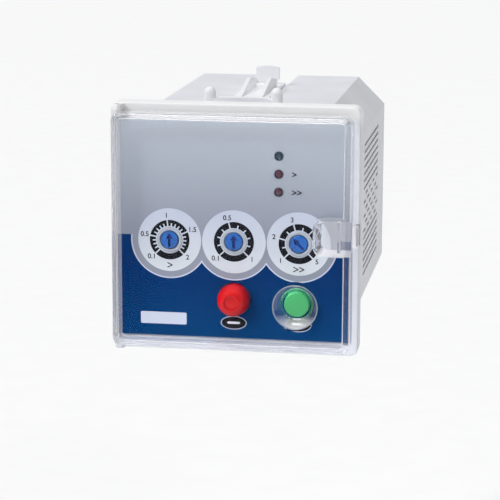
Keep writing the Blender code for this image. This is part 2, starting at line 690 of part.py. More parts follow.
def make_clip(name, material):
    """Upper mounting clip: slider in the channel, cross bar with posts, gussets and thumb plate."""
    rim = CHANNEL_WIDTH / 2
    slope = GAP * (sqrt(2) - 1) + GAP
    bottom = CHANNEL_FLOOR_Z + GAP
    top = CASE_HALF_Z + CLIP_PROUD
    floor_half = rim - CHANNEL_DEPTH + GAP - slope
    outline = [(-floor_half, bottom), (floor_half, bottom), (rim - slope, CASE_HALF_Z), (rim - slope, top),
               (-rim + slope, top), (-rim + slope, CASE_HALF_Z)]
    clip = prism(name, outline, CLIP_FRONT, CLIP_BACK, material)
    lift = CASE_HALF_Z + GAP
    bar_back = CLIP_FRONT + CLIP_BAR_THICK
    bar_top = CASE_HALF_Z + CLIP_BAR_RISE
    bar_outline = [(-CLIP_BAR_HALF, lift), (CLIP_BAR_HALF, lift), (CLIP_BAR_HALF, lift + CLIP_PROUD / 2),
                   (CLIP_BAR_TOP_HALF, bar_top), (-CLIP_BAR_TOP_HALF, bar_top), (-CLIP_BAR_HALF, lift + CLIP_PROUD / 2)]
    parts = [prism("bar", bar_outline, CLIP_FRONT + GAP / 3, bar_back)]
    post_top = CASE_HALF_Z + CLIP_POST_RISE
    radius = CLIP_POST_RADIUS
    shoulder = post_top - radius
    profile = [(0, lift + GAP / 3), (radius, lift + GAP / 3), (radius, shoulder)]
    profile += [(radius * cos(radians(a)), shoulder + radius * sin(radians(a))) for a in (30, 60)]
    profile.append((0, post_top))
    for side in (-1, 1):
        post = turned("post", profile, (0, 0, 0), 14)
        post.data.transform(Matrix.Translation((side * CLIP_POST_X, CLIP_FRONT + CLIP_BAR_THICK / 2, 0))
                            @ Matrix.Rotation(radians(90), 4, "X"))
        parts.append(post)
        gusset_top = CASE_HALF_Z + CLIP_GUSSET_RISE
        gusset_back = CLIP_BACK - CLIP_PLATE_THICK - CLIP_GUSSET_SPACE
        gusset = [(CLIP_GUSSET_START, top - WELD), (CLIP_GUSSET_START, top + GAP), (CLIP_GUSSET_PEAK, gusset_top),
                  (gusset_back, gusset_top - CLIP_GUSSET_FALL), (gusset_back, top - WELD)]
        middle = side * CLIP_GUSSET_X
        parts.append(side_prism("gusset", gusset, middle - CLIP_GUSSET_THICK / 2, middle + CLIP_GUSSET_THICK / 2))
    parts.append(thumb_plate(top))
    neck = CLIP_SLOT_WIDTH / 2 - GAP
    head_top = CHANNEL_FLOOR_Z - CASE_WALL - GAP
    foot_back = CLIP_FOOT_START + CLIP_FOOT_LENGTH
    parts.append(block("neck", (-neck, CLIP_FOOT_START, head_top - CLIP_FOOT_THICK / 2),
                       (neck, foot_back, bottom + WELD)))
    fuse(clip, *parts)
    head = CLIP_FOOT_HEAD / 2
    fuse(clip, block("head", (-head, CLIP_FOOT_START + GAP, head_top - CLIP_FOOT_THICK),
                     (head, foot_back - GAP, head_top)))
    return clip


def thumb_plate(base):
    """Upright plate on a narrower neck, with a slightly arched top."""
    half, rise = CLIP_PLATE_HALF, CASE_HALF_Z + CLIP_PLATE_RISE
    arch = [(half * t, rise + CLIP_PLATE_ARCH * (1 - t * t)) for t in (1, 0.6, 0.2, -0.2, -0.6, -1)]
    neck, shoulder = CLIP_PLATE_NECK, base + CLIP_PLATE_SHOULDER
    outline = [(-half, shoulder), (-neck, base + GAP), (-neck, base - WELD), (neck, base - WELD), (neck, base + GAP),
               (half, shoulder)] + arch
    return prism("plate", outline, CLIP_BACK - CLIP_PLATE_THICK, CLIP_BACK - GAP / 3)


def flip_under(obj, name):
    """Same moulding for the underside: a half turn about the Y axis."""
    copy = bpy.data.objects.new(name, obj.data.copy())
    bpy.context.collection.objects.link(copy)
    copy.data.transform(Matrix.Rotation(pi, 4, "Y"))
    copy.data.name = name
    return copy


def make_knob(index, material):
    """Blue trimmer rotor with an arrow-shaped driver slot."""
    front = SHEET_FRONT - KNOB_PROUD
    back = front + KNOB_THICK
    stem = back + KNOB_THICK
    edge = KNOB_RADIUS / 8
    profile = [(0, front), (KNOB_RADIUS - edge, front), (KNOB_RADIUS, front + edge), (KNOB_RADIUS, back),
               (KNOB_STEM_RADIUS, back), (KNOB_STEM_RADIUS, stem), (0, stem)]
    x = DIAL_XS[index]
    knob = turned("setting_knob_%d" % (index + 1), profile, (x, 0, DIAL_Z), 20, material)
    half, tip = KNOB_SLOT_WIDTH / 2, KNOB_RADIUS * 0.8
    arrow = [(-half, -tip), (half, -tip), (half, tip * 0.35), (half * 3.2, tip * 0.35), (0, tip),
             (-half * 3.2, tip * 0.35), (-half, tip * 0.35)]
    cutter = prism("arrow", arrow, front - WELD, front + KNOB_SLOT_DEPTH)
    cutter.data.transform(Matrix.Translation((x, 0, DIAL_Z))
                          @ Matrix.Rotation(radians(KNOB_POINTER_DEG[index]), 4, "Y"))
    carve(knob, cutter)
    return place_origin(smooth(knob), (x, front, DIAL_Z))


def make_trimmer(index, material):
    """Square trimmer body with the round collar that shows around the knob."""
    x = DIAL_XS[index]
    body_front = PANEL_BACK + GAP
    half = TRIMMER_SIDE / 2
    trimmer = prism("trimmer_body_%d" % (index + 1), rectangle(half, half, (x, DIAL_Z)), body_front,
                    FRONT_BOARD_Y - GAP, material)
    collar = rod(COLLAR_RADIUS, (x, DIAL_Z), SHEET_FRONT - COLLAR_PROUD, body_front + WELD, 20)
    fuse(trimmer, collar)
    rotor_back = SHEET_FRONT - KNOB_PROUD + KNOB_THICK + GAP
    stem_back = rotor_back + KNOB_THICK
    seat = rod(KNOB_RADIUS + GAP, (x, DIAL_Z), SHEET_FRONT - COLLAR_PROUD - WELD, rotor_back, 20)
    bore = rod(KNOB_STEM_RADIUS + GAP, (x, DIAL_Z), rotor_back - WELD, stem_back, 12)
    return carve(trimmer, seat, bore)


def make_lamp(index, material):
    """Domed lamp with its rim behind the front wall and two legs to the board."""
    z = LAMP_ZS[index]
    tip = SHEET_FRONT - LAMP_PROUD
    rim_front = PANEL_BACK + GAP
    rim_back = rim_front + LAMP_RIM_THICK
    radius = LAMP_RADIUS
    dome = [(radius * sin(radians(a)), tip + radius * (1 - cos(radians(a)))) for a in (30, 60, 90)]
    profile = [(0, tip)] + dome + [(radius, rim_front), (radius + LAMP_RIM, rim_front),
                                   (radius + LAMP_RIM, rim_back), (0, rim_back)]
    lamp = turned("status_lamp_%d" % (index + 1), profile, (LAMP_X, 0, z), 16, material)
    legs = blocks("legs", [((LAMP_X + s * LAMP_LEG_PITCH / 2 - LAMP_LEG / 2, rim_back - WELD, z - LAMP_LEG / 2),
                            (LAMP_X + s * LAMP_LEG_PITCH / 2 + LAMP_LEG / 2, FRONT_BOARD_Y - GAP, z + LAMP_LEG / 2))
                           for s in (-1, 1)])
    return smooth(fuse(lamp, legs))


def button_levels(proud):
    """Front face, rim and stem end of a push button, along Y."""
    front = SHEET_FRONT - proud
    rim_front = PANEL_BACK + GAP
    rim_back = rim_front + BUTTON_RIM_THICK
    stem_end = FRONT_BOARD_Y - GAP - SWITCH_THICK - SWITCH_PLUNGER - BUTTON_TRAVEL - GAP
    return front, rim_front, rim_back, stem_end


def make_test_button(material):
    """Red button: a dome that ends in a small dished face."""
    front, rim_front, rim_back, stem_end = button_levels(TEST_PROUD)
    base = SHEET_FRONT - TEST_PROUD * 0.2
    radius, face = TEST_RADIUS, TEST_FACE_RADIUS
    crown = [(face + (radius - face) * sin(radians(a)), base - (base - front) * cos(radians(a)))
             for a in (12, 30, 50, 70, 90)]
    profile = [(0, front + TEST_DISH), (face * 0.8, front + TEST_DISH), (face, front)] + crown
    profile += [(radius, rim_front), (radius + BUTTON_RIM, rim_front), (radius + BUTTON_RIM, rim_back),
                (BUTTON_STEM_RADIUS, rim_back), (BUTTON_STEM_RADIUS, stem_end), (0, stem_end)]
    button = turned("test_button", profile, (TEST_BUTTON_X, 0, BUTTON_Z), 28, material)
    return place_origin(smooth(button), (TEST_BUTTON_X, front, BUTTON_Z))


def make_reset_button(material):
    """Green button: a plain cylinder with a rounded edge."""
    front, rim_front, rim_back, stem_end = button_levels(RESET_PROUD)
    radius = RESET_RADIUS
    edge = radius / 8
    profile = [(0, front), (radius - edge, front), (radius - edge * 0.3, front + edge * 0.3), (radius, front + edge),
               (radius, rim_front), (radius + BUTTON_RIM, rim_front), (radius + BUTTON_RIM, rim_back),
               (BUTTON_STEM_RADIUS, rim_back), (BUTTON_STEM_RADIUS, stem_end), (0, stem_end)]
    button = turned("reset_button", profile, (RESET_BUTTON_X, 0, BUTTON_Z), 24, material)
    return place_origin(smooth(button), (RESET_BUTTON_X, front, BUTTON_Z))


def make_spring(name, x, material):
    """Return spring around a button stem, from the button's rim to the board."""
    start = PANEL_BACK + GAP + BUTTON_RIM_THICK + GAP + SPRING_WIRE
    end = FRONT_BOARD_Y - GAP - SPRING_WIRE
    coil = SWITCH_SIDE / sqrt(2) + 2 * GAP + SPRING_WIRE
    steps = 12
    count = SPRING_TURNS * steps
    curve = bpy.data.curves.new(name, "CURVE")
    curve.dimensions = "3D"
    curve.bevel_depth = SPRING_WIRE
    curve.bevel_resolution = 1
    curve.use_fill_caps = True
    spline = curve.splines.new("POLY")
    spline.points.add(count)
    for i, point in enumerate(spline.points):
        angle = 2 * pi * i / steps
        point.co = (x + coil * cos(angle), start + (end - start) * i / count, BUTTON_Z + coil * sin(angle), 1)
    curve.materials.append(material)
    spring = bpy.data.objects.new(name, curve)
    bpy.context.collection.objects.link(spring)
    return spring


def make_switch(name, x, material):
    """Small push switch on the front board."""
    half = SWITCH_SIDE / 2
    back = FRONT_BOARD_Y - GAP
    switch = prism(name, rectangle(half, half, (x, BUTTON_Z)), back - SWITCH_THICK, back, material)
    return fuse(switch, rod(SWITCH_SIDE / 4, (x, BUTTON_Z), back - SWITCH_THICK - SWITCH_PLUNGER,
                            back - SWITCH_THICK + WELD, 12))


def make_front_board(material):
    half_x, half_z, c = BOARD_HALF_X, BOARD_HALF_Z, BOARD_CORNER
    outline = [(half_x, half_z - c), (half_x - c, half_z), (-half_x + c, half_z), (-half_x, half_z - c)]
    outline += [(-x, -z) for x, z in outline]
    board = prism("front_board", outline, FRONT_BOARD_Y, FRONT_BOARD_Y + BOARD_THICK, material)
    holes = [rod(SCREW_RADIUS + GAP, (sx * BOARD_SCREW_X, sz * BOARD_SCREW_Z), FRONT_BOARD_Y - WELD,
                 FRONT_BOARD_Y + BOARD_THICK + WELD, 8) for sx in (-1, 1) for sz in (-1, 1)]
    return carve(board, *holes)


def make_screw(name, centre, head_front, shank_start, material):
    """Slotted pan-head screw along Y."""
    x, z = centre
    radius, thick = SCREW_HEAD_RADIUS, SCREW_HEAD_THICK
    profile = [(0, shank_start), (SCREW_RADIUS, shank_start), (SCREW_RADIUS, head_front), (radius, head_front),
               (radius, head_front + thick * 0.6), (radius * 0.8, head_front + thick), (0, head_front + thick)]
    screw = turned(name, profile, (x, 0, z), 12, material)
    return carve(screw, block("slot", (x - 2 * radius, head_front + thick * 0.5, z - radius / 6),
                              (x + 2 * radius, head_front + thick + WELD, z + radius / 6)))


def make_main_board(material):
    half = INNER_HALF_X - 2 * GAP
    z = MAIN_BOARD_Z
    return block("main_board", (-half, MAIN_BOARD_START, z - BOARD_THICK / 2),
                 (half, MAIN_BOARD_END, z + BOARD_THICK / 2), material)


def make_rear_board(material):
    """Upright board with a plated hole for each terminal tail."""
    board = block("rear_board", (-REAR_BOARD_HALF_X, REAR_BOARD_Y, BOARD_TOP),
                  (REAR_BOARD_HALF_X, REAR_BOARD_BACK, REAR_BOARD_TOP), material)
    half = TERMINAL_TAIL / 2 + GAP
    holes = [((x - half, REAR_BOARD_Y - WELD, tail_z(side) - half), (x + half, REAR_BOARD_BACK + WELD,
                                                                    tail_z(side) + half))
             for side in (-1, 1) for x in terminal_xs()]
    return carve(board, blocks("holes", holes))


def make_transformer(name, x, y, size, core_material, coil_material):
    """Laminated core with two windows and the winding round its middle leg; size is the core's width."""
    height, depth = size * CORE_HEIGHT_RATIO, size * CORE_DEPTH_RATIO
    bottom = BOARD_TOP
    leg = size / 6
    middle = bottom + height / 2
    core = block(name + "_core", (x - size / 2, y - depth / 2, bottom), (x + size / 2, y + depth / 2, bottom + height),
                 core_material)
    window_in, window_out = size / 4 - leg / 2, size / 4 + leg / 2
    windows = []
    for side in (-1, 1):
        left, right = sorted((x + side * window_in, x + side * window_out))
        windows.append(block("window", (left, y - depth, bottom + leg), (right, y + depth, bottom + height - leg)))
    carve(core, *windows)
    tall = height / 2 - leg - GAP
    coil = block(name + "_winding", (x - window_out + GAP, y - depth / 2 - leg, middle - tall),
                 (x + window_out - GAP, y + depth / 2 + leg, middle + tall), coil_material)
    bevel(coil, leg / 4, lambda co: True, 1)
    carve(coil, block("leg", (x - window_in - GAP, y - depth / 2 - GAP, middle - height),
                      (x + window_in + GAP, y + depth / 2 + GAP, middle + height)))
    return core, coil


def make_relay(index, material):
    """Sealed output relay with rounded edges."""
    right = INNER_HALF_X - RELAY_INSET - index * (RELAY_WIDTH + RELAY_SPACING)
    relay = block("output_relay_%d" % (index + 1), (right - RELAY_WIDTH, RELAY_START, BOARD_TOP),
                  (right, RELAY_START + RELAY_LENGTH, BOARD_TOP + RELAY_HEIGHT), material)
    return bevel(relay, RELAY_EDGE, lambda co: co.z > BOARD_TOP + RELAY_HEIGHT / 2)


def make_capacitor(index, right, material):
    """Standing electrolytic capacitor with its rolled groove; right is the far side of the can."""
    radius, height = CAPACITOR_RADII[index], CAPACITOR_HEIGHTS[index]
    profile = [(0, 0), (radius, 0), (radius, height * 0.10), (radius * 0.92, height * 0.14),
               (radius, height * 0.18), (radius, height * 0.97), (radius * 0.94, height), (0, height)]
    can = turned("capacitor_%d" % (index + 1), [(r, -d) for r, d in profile], (0, 0, 0), 16, material)
    can.data.transform(Matrix.Translation((right - radius, CAPACITOR_Y, BOARD_TOP))
                       @ Matrix.Rotation(radians(-90), 4, "X"))
    return smooth(can)


def make_chip(material):
    """Control chip with its end notch and two rows of legs."""
    half_x, half_y = CHIP_LENGTH / 2, CHIP_WIDTH / 2
    x, y, z = -INNER_HALF_X + CHIP_INSET + half_x, CHIP_Y, BOARD_TOP
    top = z + CHIP_LIFT + CHIP_THICK
    chip = block("control_chip", (x - half_x, y - half_y, z + CHIP_LIFT), (x + half_x, y + half_y, top), material)
    carve(chip, upright_rod(half_y * 0.3, x - half_x, y, top - CHIP_THICK * 0.3, top + WELD, 8))
    legs = []
    pitch = CHIP_LENGTH * 0.9 / CHIP_LEGS
    for i in range(CHIP_LEGS):
        leg_x = x + (i - (CHIP_LEGS - 1) / 2) * pitch
        for side in (-1, 1):
            near_y, far_y = sorted((y + side * (half_y - CHIP_LEG), y + side * (half_y + CHIP_LEG)))
            legs.append(((leg_x - CHIP_LEG / 2, near_y, z), (leg_x + CHIP_LEG / 2, far_y,
                                                            z + CHIP_LIFT + CHIP_THICK / 2)))
    return fuse(chip, blocks("legs", legs))


def make_board_link(material):
    """Pin header that joins the front board to the main board."""
    start = FRONT_BOARD_Y + BOARD_THICK + GAP
    back = MAIN_BOARD_START + LINK_LENGTH
    half, top = LINK_WIDTH / 2, BOARD_TOP + LINK_HEIGHT
    link = block("board_link", (-half, start, BOARD_TOP), (half, back, top), material)
    pitch = LINK_WIDTH / (LINK_WAYS + 0.5)
    length = back - start
    ways = [((-half + (i + 0.5) * pitch, start + length / 4, top - LINK_HEIGHT * 0.6),
             (-half + (i + 1) * pitch, back - length / 8, top + WELD)) for i in range(LINK_WAYS)]
    return carve(link, blocks("ways", ways))


def make_rear_panel(material):
    """Plate that closes the back of the case, with windows for the terminal blocks."""
    outline = inset(case_outline(), CASE_WALL + GAP)
    panel = prism("rear_panel", outline, REAR_PANEL_Y, CASE_LENGTH, material)
    half_x = terminal_half_x() + GAP
    half_z = TERMINAL_BLOCK_HEIGHT / 2 + GAP
    tools = []
    for side in (-1, 1):
        tools.append(prism("window", rectangle(half_x, half_z, (0, side * TERMINAL_ROW_Z)), REAR_PANEL_Y - WELD,
                           CASE_LENGTH + WELD))
        head = CLIP_FOOT_HEAD / 2 + GAP
        edge = CHANNEL_FLOOR_Z - CASE_WALL
        low, high = sorted((side * (edge - CLIP_FOOT_THICK - 2 * GAP), side * edge))
        tools.append(block("foot_way", (-head, REAR_PANEL_Y - WELD, low), (head, CASE_LENGTH + WELD, high)))
        for end in (-1, 1):
            centre = (side * REAR_SCREW_POSITION, end * REAR_SCREW_POSITION)
            tools.append(rod(SCREW_RADIUS + GAP, centre, REAR_PANEL_Y - WELD, CASE_LENGTH, 8))
            tools.append(rod(SCREW_HEAD_RADIUS + 2 * GAP, centre, CASE_LENGTH - SCREW_HEAD_THICK - GAP,
                             CASE_LENGTH + WELD, 16))
    return carve(panel, *tools)


def terminal_half_x():
    return TERMINAL_COUNT * TERMINAL_PITCH / 2 + TERMINAL_FLANGE


def terminal_xs():
    return [(i - (TERMINAL_COUNT - 1) / 2) * TERMINAL_PITCH for i in range(TERMINAL_COUNT)]


def tail_z(side):
    """Height of the solder tails of one terminal row."""
    return side * (TERMINAL_ROW_Z - TERMINAL_BLOCK_HEIGHT / 2 + TERMINAL_TAIL_INSET)


def make_terminal_row(name, side, black, zinc):
    """Barrier block and its terminals, each a tag with a tail, a clamp washer and a screw."""
    centre = side * TERMINAL_ROW_Z
    half_z = TERMINAL_BLOCK_HEIGHT / 2
    body = prism("terminal_block_" + name, rectangle(terminal_half_x(), half_z, (0, centre)), BLOCK_FRONT,
                 BLOCK_BACK, black)
    flange_back = REAR_PANEL_Y - GAP
    flange = prism("flange", rectangle(terminal_half_x() + TERMINAL_FLANGE, half_z + TERMINAL_FLANGE, (0, centre)),
                   flange_back - TERMINAL_FLANGE_THICK, flange_back)
    fuse(body, flange)
    pocket = TERMINAL_POCKET_WIDTH / 2
    floor_edge = half_z - TERMINAL_PARTITION
    inner, outer = sorted((centre - side * floor_edge, centre + side * (half_z + WELD)))
    pockets = [((x - pocket, POCKET_FLOOR, inner), (x + pocket, BLOCK_BACK + WELD, outer)) for x in terminal_xs()]
    tail = TERMINAL_TAIL / 2 + GAP
    ways = [((x - tail, BLOCK_FRONT - WELD, tail_z(side) - tail), (x + tail, POCKET_FLOOR + WELD, tail_z(side) + tail))
            for x in terminal_xs()]
    bores = [rod(TERMINAL_SCREW_RADIUS + GAP, (x, centre), REAR_PANEL_Y - TERMINAL_FLANGE_THICK,
                 POCKET_FLOOR + WELD, 8) for x in terminal_xs()]
    carve(body, blocks("pockets", pockets), blocks("ways", ways), *bores)
    tag_front = POCKET_FLOOR + GAP
    tag_back = tag_front + TERMINAL_TAG_THICK
    clamp_back = tag_back + TERMINAL_TAG_THICK
    slot = TERMINAL_HEAD_RADIUS / 6
    for number, x in enumerate(terminal_xs(), 1):
        low, high = sorted((centre - side * (floor_edge - GAP), centre + side * TERMINAL_CLAMP_SIDE * 0.75))
        terminal = block("terminal_%s_%d" % (name, number), (x - TERMINAL_TAG_WIDTH / 2, tag_front, low),
                         (x + TERMINAL_TAG_WIDTH / 2, tag_back, high), zinc)
        t = TERMINAL_TAIL / 2
        tail_rod = block("tail", (x - t, REAR_BOARD_Y - TERMINAL_TAIL, tail_z(side) - t),
                         (x + t, tag_back - GAP, tail_z(side) + t))
        clamp = TERMINAL_CLAMP_SIDE / 2
        washer = prism("washer", rectangle(clamp, clamp, (x, centre)), tag_back - GAP, clamp_back)
        start = REAR_PANEL_Y - TERMINAL_FLANGE_THICK + GAP
        head, shank, end = TERMINAL_HEAD_RADIUS, TERMINAL_SCREW_RADIUS, clamp_back + TERMINAL_HEAD_THICK
        profile = [(0, start), (shank, start), (shank, clamp_back - GAP), (head, clamp_back - GAP),
                   (head, end - TERMINAL_HEAD_THICK * 0.4), (head * 0.8, end), (0, end)]
        screw = turned("screw", profile, (x, 0, centre), 12)
        fuse(terminal, tail_rod, washer, screw)
        carve(terminal, block("slot", (x - 2 * head, end - TERMINAL_HEAD_THICK * 0.5, centre - slot),
                              (x + 2 * head, end + WELD, centre + slot)))


def main():
    for old in list(bpy.data.objects):
        bpy.data.objects.remove(old)
    white = finish("white_moulding", (0.80, 0.81, 0.84), 0.42)
    grey_print = finish("face_print", (0.38, 0.41, 0.46), 0.45)
    clear = finish("clear_moulding", (0.92, 0.93, 0.97), 0.06, 0.0, 0.9)
    blue = finish("knob_blue", (0.03, 0.17, 0.52), 0.4)
    pale = finish("collar_grey", (0.66, 0.69, 0.74), 0.5)
    red = finish("button_red", (0.62, 0.015, 0.02), 0.3)
    green = finish("button_green", (0.12, 0.58, 0.22), 0.35)
    lamp_green = finish("lamp_green", (0.03, 0.12, 0.10), 0.25)
    lamp_red = finish("lamp_red", (0.16, 0.03, 0.05), 0.25)
    board_green = finish("circuit_board", (0.02, 0.16, 0.07), 0.45)
    black = finish("black_moulding", (0.02, 0.02, 0.022), 0.5)
    zinc = finish("zinc_plate", (0.62, 0.63, 0.65), 0.35, 1.0)
    steel = finish("steel", (0.55, 0.55, 0.56), 0.3, 1.0)
    iron = finish("lamination", (0.20, 0.20, 0.21), 0.5, 0.8)
    tape = finish("winding_tape", (0.60, 0.42, 0.05), 0.5)
    sleeve = finish("capacitor_sleeve", (0.03, 0.05, 0.12), 0.4)
    relay_blue = finish("relay_case", (0.04, 0.10, 0.30), 0.4)

    make_bezel(white)
    make_sheet(grey_print)
    make_case(white)
    make_cover(clear)
    upper = make_clip("upper_clip", white)
    lower = flip_under(upper, "lower_clip")
    place_origin(upper, (0, CLIP_FRONT, CASE_HALF_Z))
    place_origin(lower, (0, CLIP_FRONT, -CASE_HALF_Z))
    for index in range(len(DIAL_XS)):
        make_knob(index, blue)
        make_trimmer(index, pale)
    for index in range(LAMP_COUNT):
        make_lamp(index, lamp_green if index == 0 else lamp_red)
    make_test_button(red)
    make_reset_button(green)
    make_spring("test_button_spring", TEST_BUTTON_X, steel)
    make_spring("reset_button_spring", RESET_BUTTON_X, steel)
    make_switch("test_switch", TEST_BUTTON_X, black)
    make_switch("reset_switch", RESET_BUTTON_X, black)
    make_front_board(board_green)
    corners = [(sx, sz) for sx in (-1, 1) for sz in (-1, 1)]
    for number, (sx, sz) in enumerate(corners, 1):
        make_screw("front_board_screw_%d" % number, (sx * BOARD_SCREW_X, sz * BOARD_SCREW_Z),
                   FRONT_BOARD_Y + BOARD_THICK + GAP, PANEL_BACK + FRONT_WALL + GAP, steel)
        make_screw("rear_panel_screw_%d" % number, (sx * REAR_SCREW_POSITION, sz * REAR_SCREW_POSITION),
                   CASE_LENGTH - SCREW_HEAD_THICK, REAR_PANEL_Y - REAR_PILLAR_LENGTH + 2 * WELD + GAP, steel)
    make_main_board(board_green)
    make_rear_board(board_green)
    make_board_link(black)
    supply_depth = SUPPLY_WIDTH * (CORE_DEPTH_RATIO / 2 + 1 / 6)
    make_transformer("supply_transformer", -INNER_HALF_X + TRANSFORMER_INSET + SUPPLY_WIDTH / 2,
                     REAR_BOARD_Y - TRANSFORMER_REAR_GAP - supply_depth, SUPPLY_WIDTH, iron, tape)
    input_depth = INPUT_WIDTH * (CORE_DEPTH_RATIO / 2 + 1 / 6)
    make_transformer("input_transformer", INNER_HALF_X - INPUT_INSET - INPUT_WIDTH / 2,
                     REAR_BOARD_Y - INPUT_REAR_GAP - input_depth, INPUT_WIDTH, iron, tape)
    for index in range(RELAY_COUNT):
        make_relay(index, relay_blue)
    right = INNER_HALF_X - CAPACITOR_INSET
    for index in range(len(CAPACITOR_RADII)):
        make_capacitor(index, right, sleeve)
        right -= 2 * CAPACITOR_RADII[index] + CAPACITOR_SPACING
    make_chip(black)
    make_rear_panel(white)
    make_terminal_row("upper", 1, black, zinc)
    make_terminal_row("lower", -1, black, zinc)


main()
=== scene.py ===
from math import cos, hypot, pi, radians, sin

import bpy
from mathutils import Matrix, Vector


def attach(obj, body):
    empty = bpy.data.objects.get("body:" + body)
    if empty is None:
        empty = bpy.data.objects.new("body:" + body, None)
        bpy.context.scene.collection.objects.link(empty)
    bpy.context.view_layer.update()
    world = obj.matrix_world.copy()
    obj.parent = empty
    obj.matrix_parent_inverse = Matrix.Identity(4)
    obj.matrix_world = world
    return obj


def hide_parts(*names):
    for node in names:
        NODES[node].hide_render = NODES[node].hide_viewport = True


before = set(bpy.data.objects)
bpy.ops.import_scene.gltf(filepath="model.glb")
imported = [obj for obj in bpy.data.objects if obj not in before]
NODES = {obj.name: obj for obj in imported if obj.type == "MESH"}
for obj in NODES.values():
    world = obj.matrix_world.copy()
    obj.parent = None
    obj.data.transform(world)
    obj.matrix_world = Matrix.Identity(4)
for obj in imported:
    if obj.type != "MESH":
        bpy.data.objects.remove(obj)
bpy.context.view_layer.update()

# Looks of the protection relay. Forms are given in millimetres in the frame of the solids: X to the right,
# Y from the front of the unit, which is negative, to its back, Z up. Finishes and the stage are in metres.

MM = 0.001
MERGE_DISTANCE = 0.002
NEAR = 0.1

# Layout of the face, as in the solids
SHEET_FRONT = -8.8
SHEET_HALF_X = 45.0
SHEET_BOTTOM = -42.5
FIELD_TOP = -3.0
DIAL_XS = (-25.0, 0.0, 25.0)
DIAL_Z = -4.7
BUTTON_Z = -27.2
TEST_X = 0.0
RESET_X = 25.0
LAMP_X = 17.2
LAMP_ZS = (28.9, 22.0, 15.1)
WALL_BACK = -5.7
BOARD_FRONT = 3.7
TEST_HOLE_RADIUS = 6.5
RESET_HOLE_RADIUS = 5.15

# Cover: planes and roundings of the shell and its room, hinge pins, funnel, then the corners of each block at the
# latch. A reach is how far from the axis of the funnel a finish goes.
COVER_FRONT = -19.0
COVER_INSIDE = -17.1
COVER_BACK = -9.2
COVER_HALF_X = 45.7
COVER_HALF_Z = 44.9
COVER_CORNER = 3.0
COVER_RIM = 0.7
HINGE_CHAMFER = 1.0
ROOM_LEFT = -43.8
ROOM_RIGHT = 43.0
ROOM_HALF_Z = 43.0
ROOM_CORNER = 1.6
ROOM_RIM = 0.5
HINGE_X = -44.4
HINGE_Y = -10.8
PIN_RADIUS = 0.8
PIN_LENGTH = 3.0
PIN_Z = 45.8
FUNNEL_END = -13.5
FUNNEL_RADIUS = 10.2
MOUTH_RADIUS = 9.9
THROAT_RADIUS = 5.4
MOUTH_REACH = 9.3
FUNNEL_REACH = 13.8
LATCH_Z = -0.3
LATCH_LEFT = 32.0
LATCH_LOW = -8.5
LATCH_HIGH = 7.5
RECESS = ((32.6, -17.6, -7.1), (44.75, -11.0, 6.5))
POCKET = ((34.0, -19.6, -5.8), (46.3, -12.3, 5.2))
TONGUE = ((43.8, -12.3, -4.6), (47.9, -11.0, 3.4))
HOOK = ((47.0, -12.0, -4.45), (47.8, -5.2, 3.25))
RIB = ((40.4, -16.3, -6.3), (41.6, -11.7, 5.7))

# Knobs, lamps and buttons
ROTOR_FRONT = -9.6
ROTOR_BACK = -6.2
ROTOR_RADIUS = 3.4
SPINDLE_RADIUS = 1.5
SPINDLE_END = -2.8
SLOT_DEPTH = 0.9
COLLAR_INNER = 3.72
COLLAR_OUTER = 5.0
POINTERS_DEG = (0, 0, -45)
LENS_RADIUS = 1.5
LENS_FLANGE = 1.9
LENS_BACK = -4.8
LEG_OFFSET = 1.27
LEG_HALF = 0.25
TEST_CAP_RADIUS = 6.2
RESET_CAP_RADIUS = 4.85
CAP_FLANGE = 1.2
CAP_BACK = -4.7
STEM_RADIUS = 2.2
STEM_END = -2.1

# Print: how far each layer stands out from the sheet, and how far all of them reach into it
LINE_PROUD = 0.04
LAMP_EDGE_PROUD = 0.06
FIELD_PROUD = 0.07
DISC_PROUD = 0.10
PLATE_PROUD = 0.11
MARK_PROUD = 0.13
RING_PROUD = 0.14
BAR_PROUD = 0.17
TICK_PROUD = 0.18
SUNK = 0.03

# Print: outlines on the face
LINE_RADIUS = 14.65
FIELD_RADIUS = 15.1
PLATE_X = -27.5
PLATE_Z = -35.65
PLATE_WIDTH = 18.0
PLATE_HEIGHT = 4.7
OVAL_Z = -36.5
OVAL_RADIUS = 4.75
OVAL_RIM_RADIUS = 5.05
DIAL_ARROWS_Z = -14.6
DIAL_ARROW_SIZE = 2.2
LAMP_ARROW_XS = (23.0, 24.0)
LAMP_ARROW_SIZE = 1.9

# Dials: steps round the sweep, and the plain number at each step that has one
SWEEP_DEG = 270.0
DIALS = (
    (19, {0: "0.1", 4: "0.5", 9: "1", 14: "1.5", 19: "2"}),
    (9, {0: "0.1", 4: "0.5", 9: "1"}),
    (9, {0: "1", 2: "2", 4: "3", 6: "4", 9: "5"}),
)
DISC_RADIUS = 12.3
DISC_HOLE_RADIUS = 4.6
RING_RADIUS = 7.75
RING_HOLE_RADIUS = 5.35
TICK_START = 5.2
TICK_WIDTH = 0.5
LONG_TICK_END = 7.8
SHORT_TICK_END = 6.55
NUMBER_REACH_X = 9.9
NUMBER_REACH_Z = 9.5
NUMBER_SIZE = 2.7

# Stage in metres: lamps as (name, place, spread in degrees, power), camera fitted to the corners of the face
FLOOR_LEVEL = -0.20
FLOOR_SIZE = 24.0
SKY_COLOUR = (0.98, 0.985, 1.0, 1)
SKY_STRENGTH = 0.28
LAMPS = (
    ("key_lamp", (-0.55, -0.6, 0.6), 12, 1.05),
    ("edge_lamp", (0.42, -0.62, 0.62), 7, 0.09),
    ("top_lamp", (-0.12, 0.1, 1.0), 50, 1.75),
)
CAMERA_PLACE = (0.12173, -0.73830, 0.14687)
CAMERA_TURN_DEG = (78.17992, -0.21534, 9.04506)
CAMERA_LENS_MM = 142.2
CAMERA_SENSOR_MM = 36.0


# Modelling helpers


def deselect():
    if bpy.context.object and bpy.context.object.mode != "OBJECT":
        bpy.ops.object.mode_set(mode="OBJECT")
    bpy.ops.object.select_all(action="DESELECT")


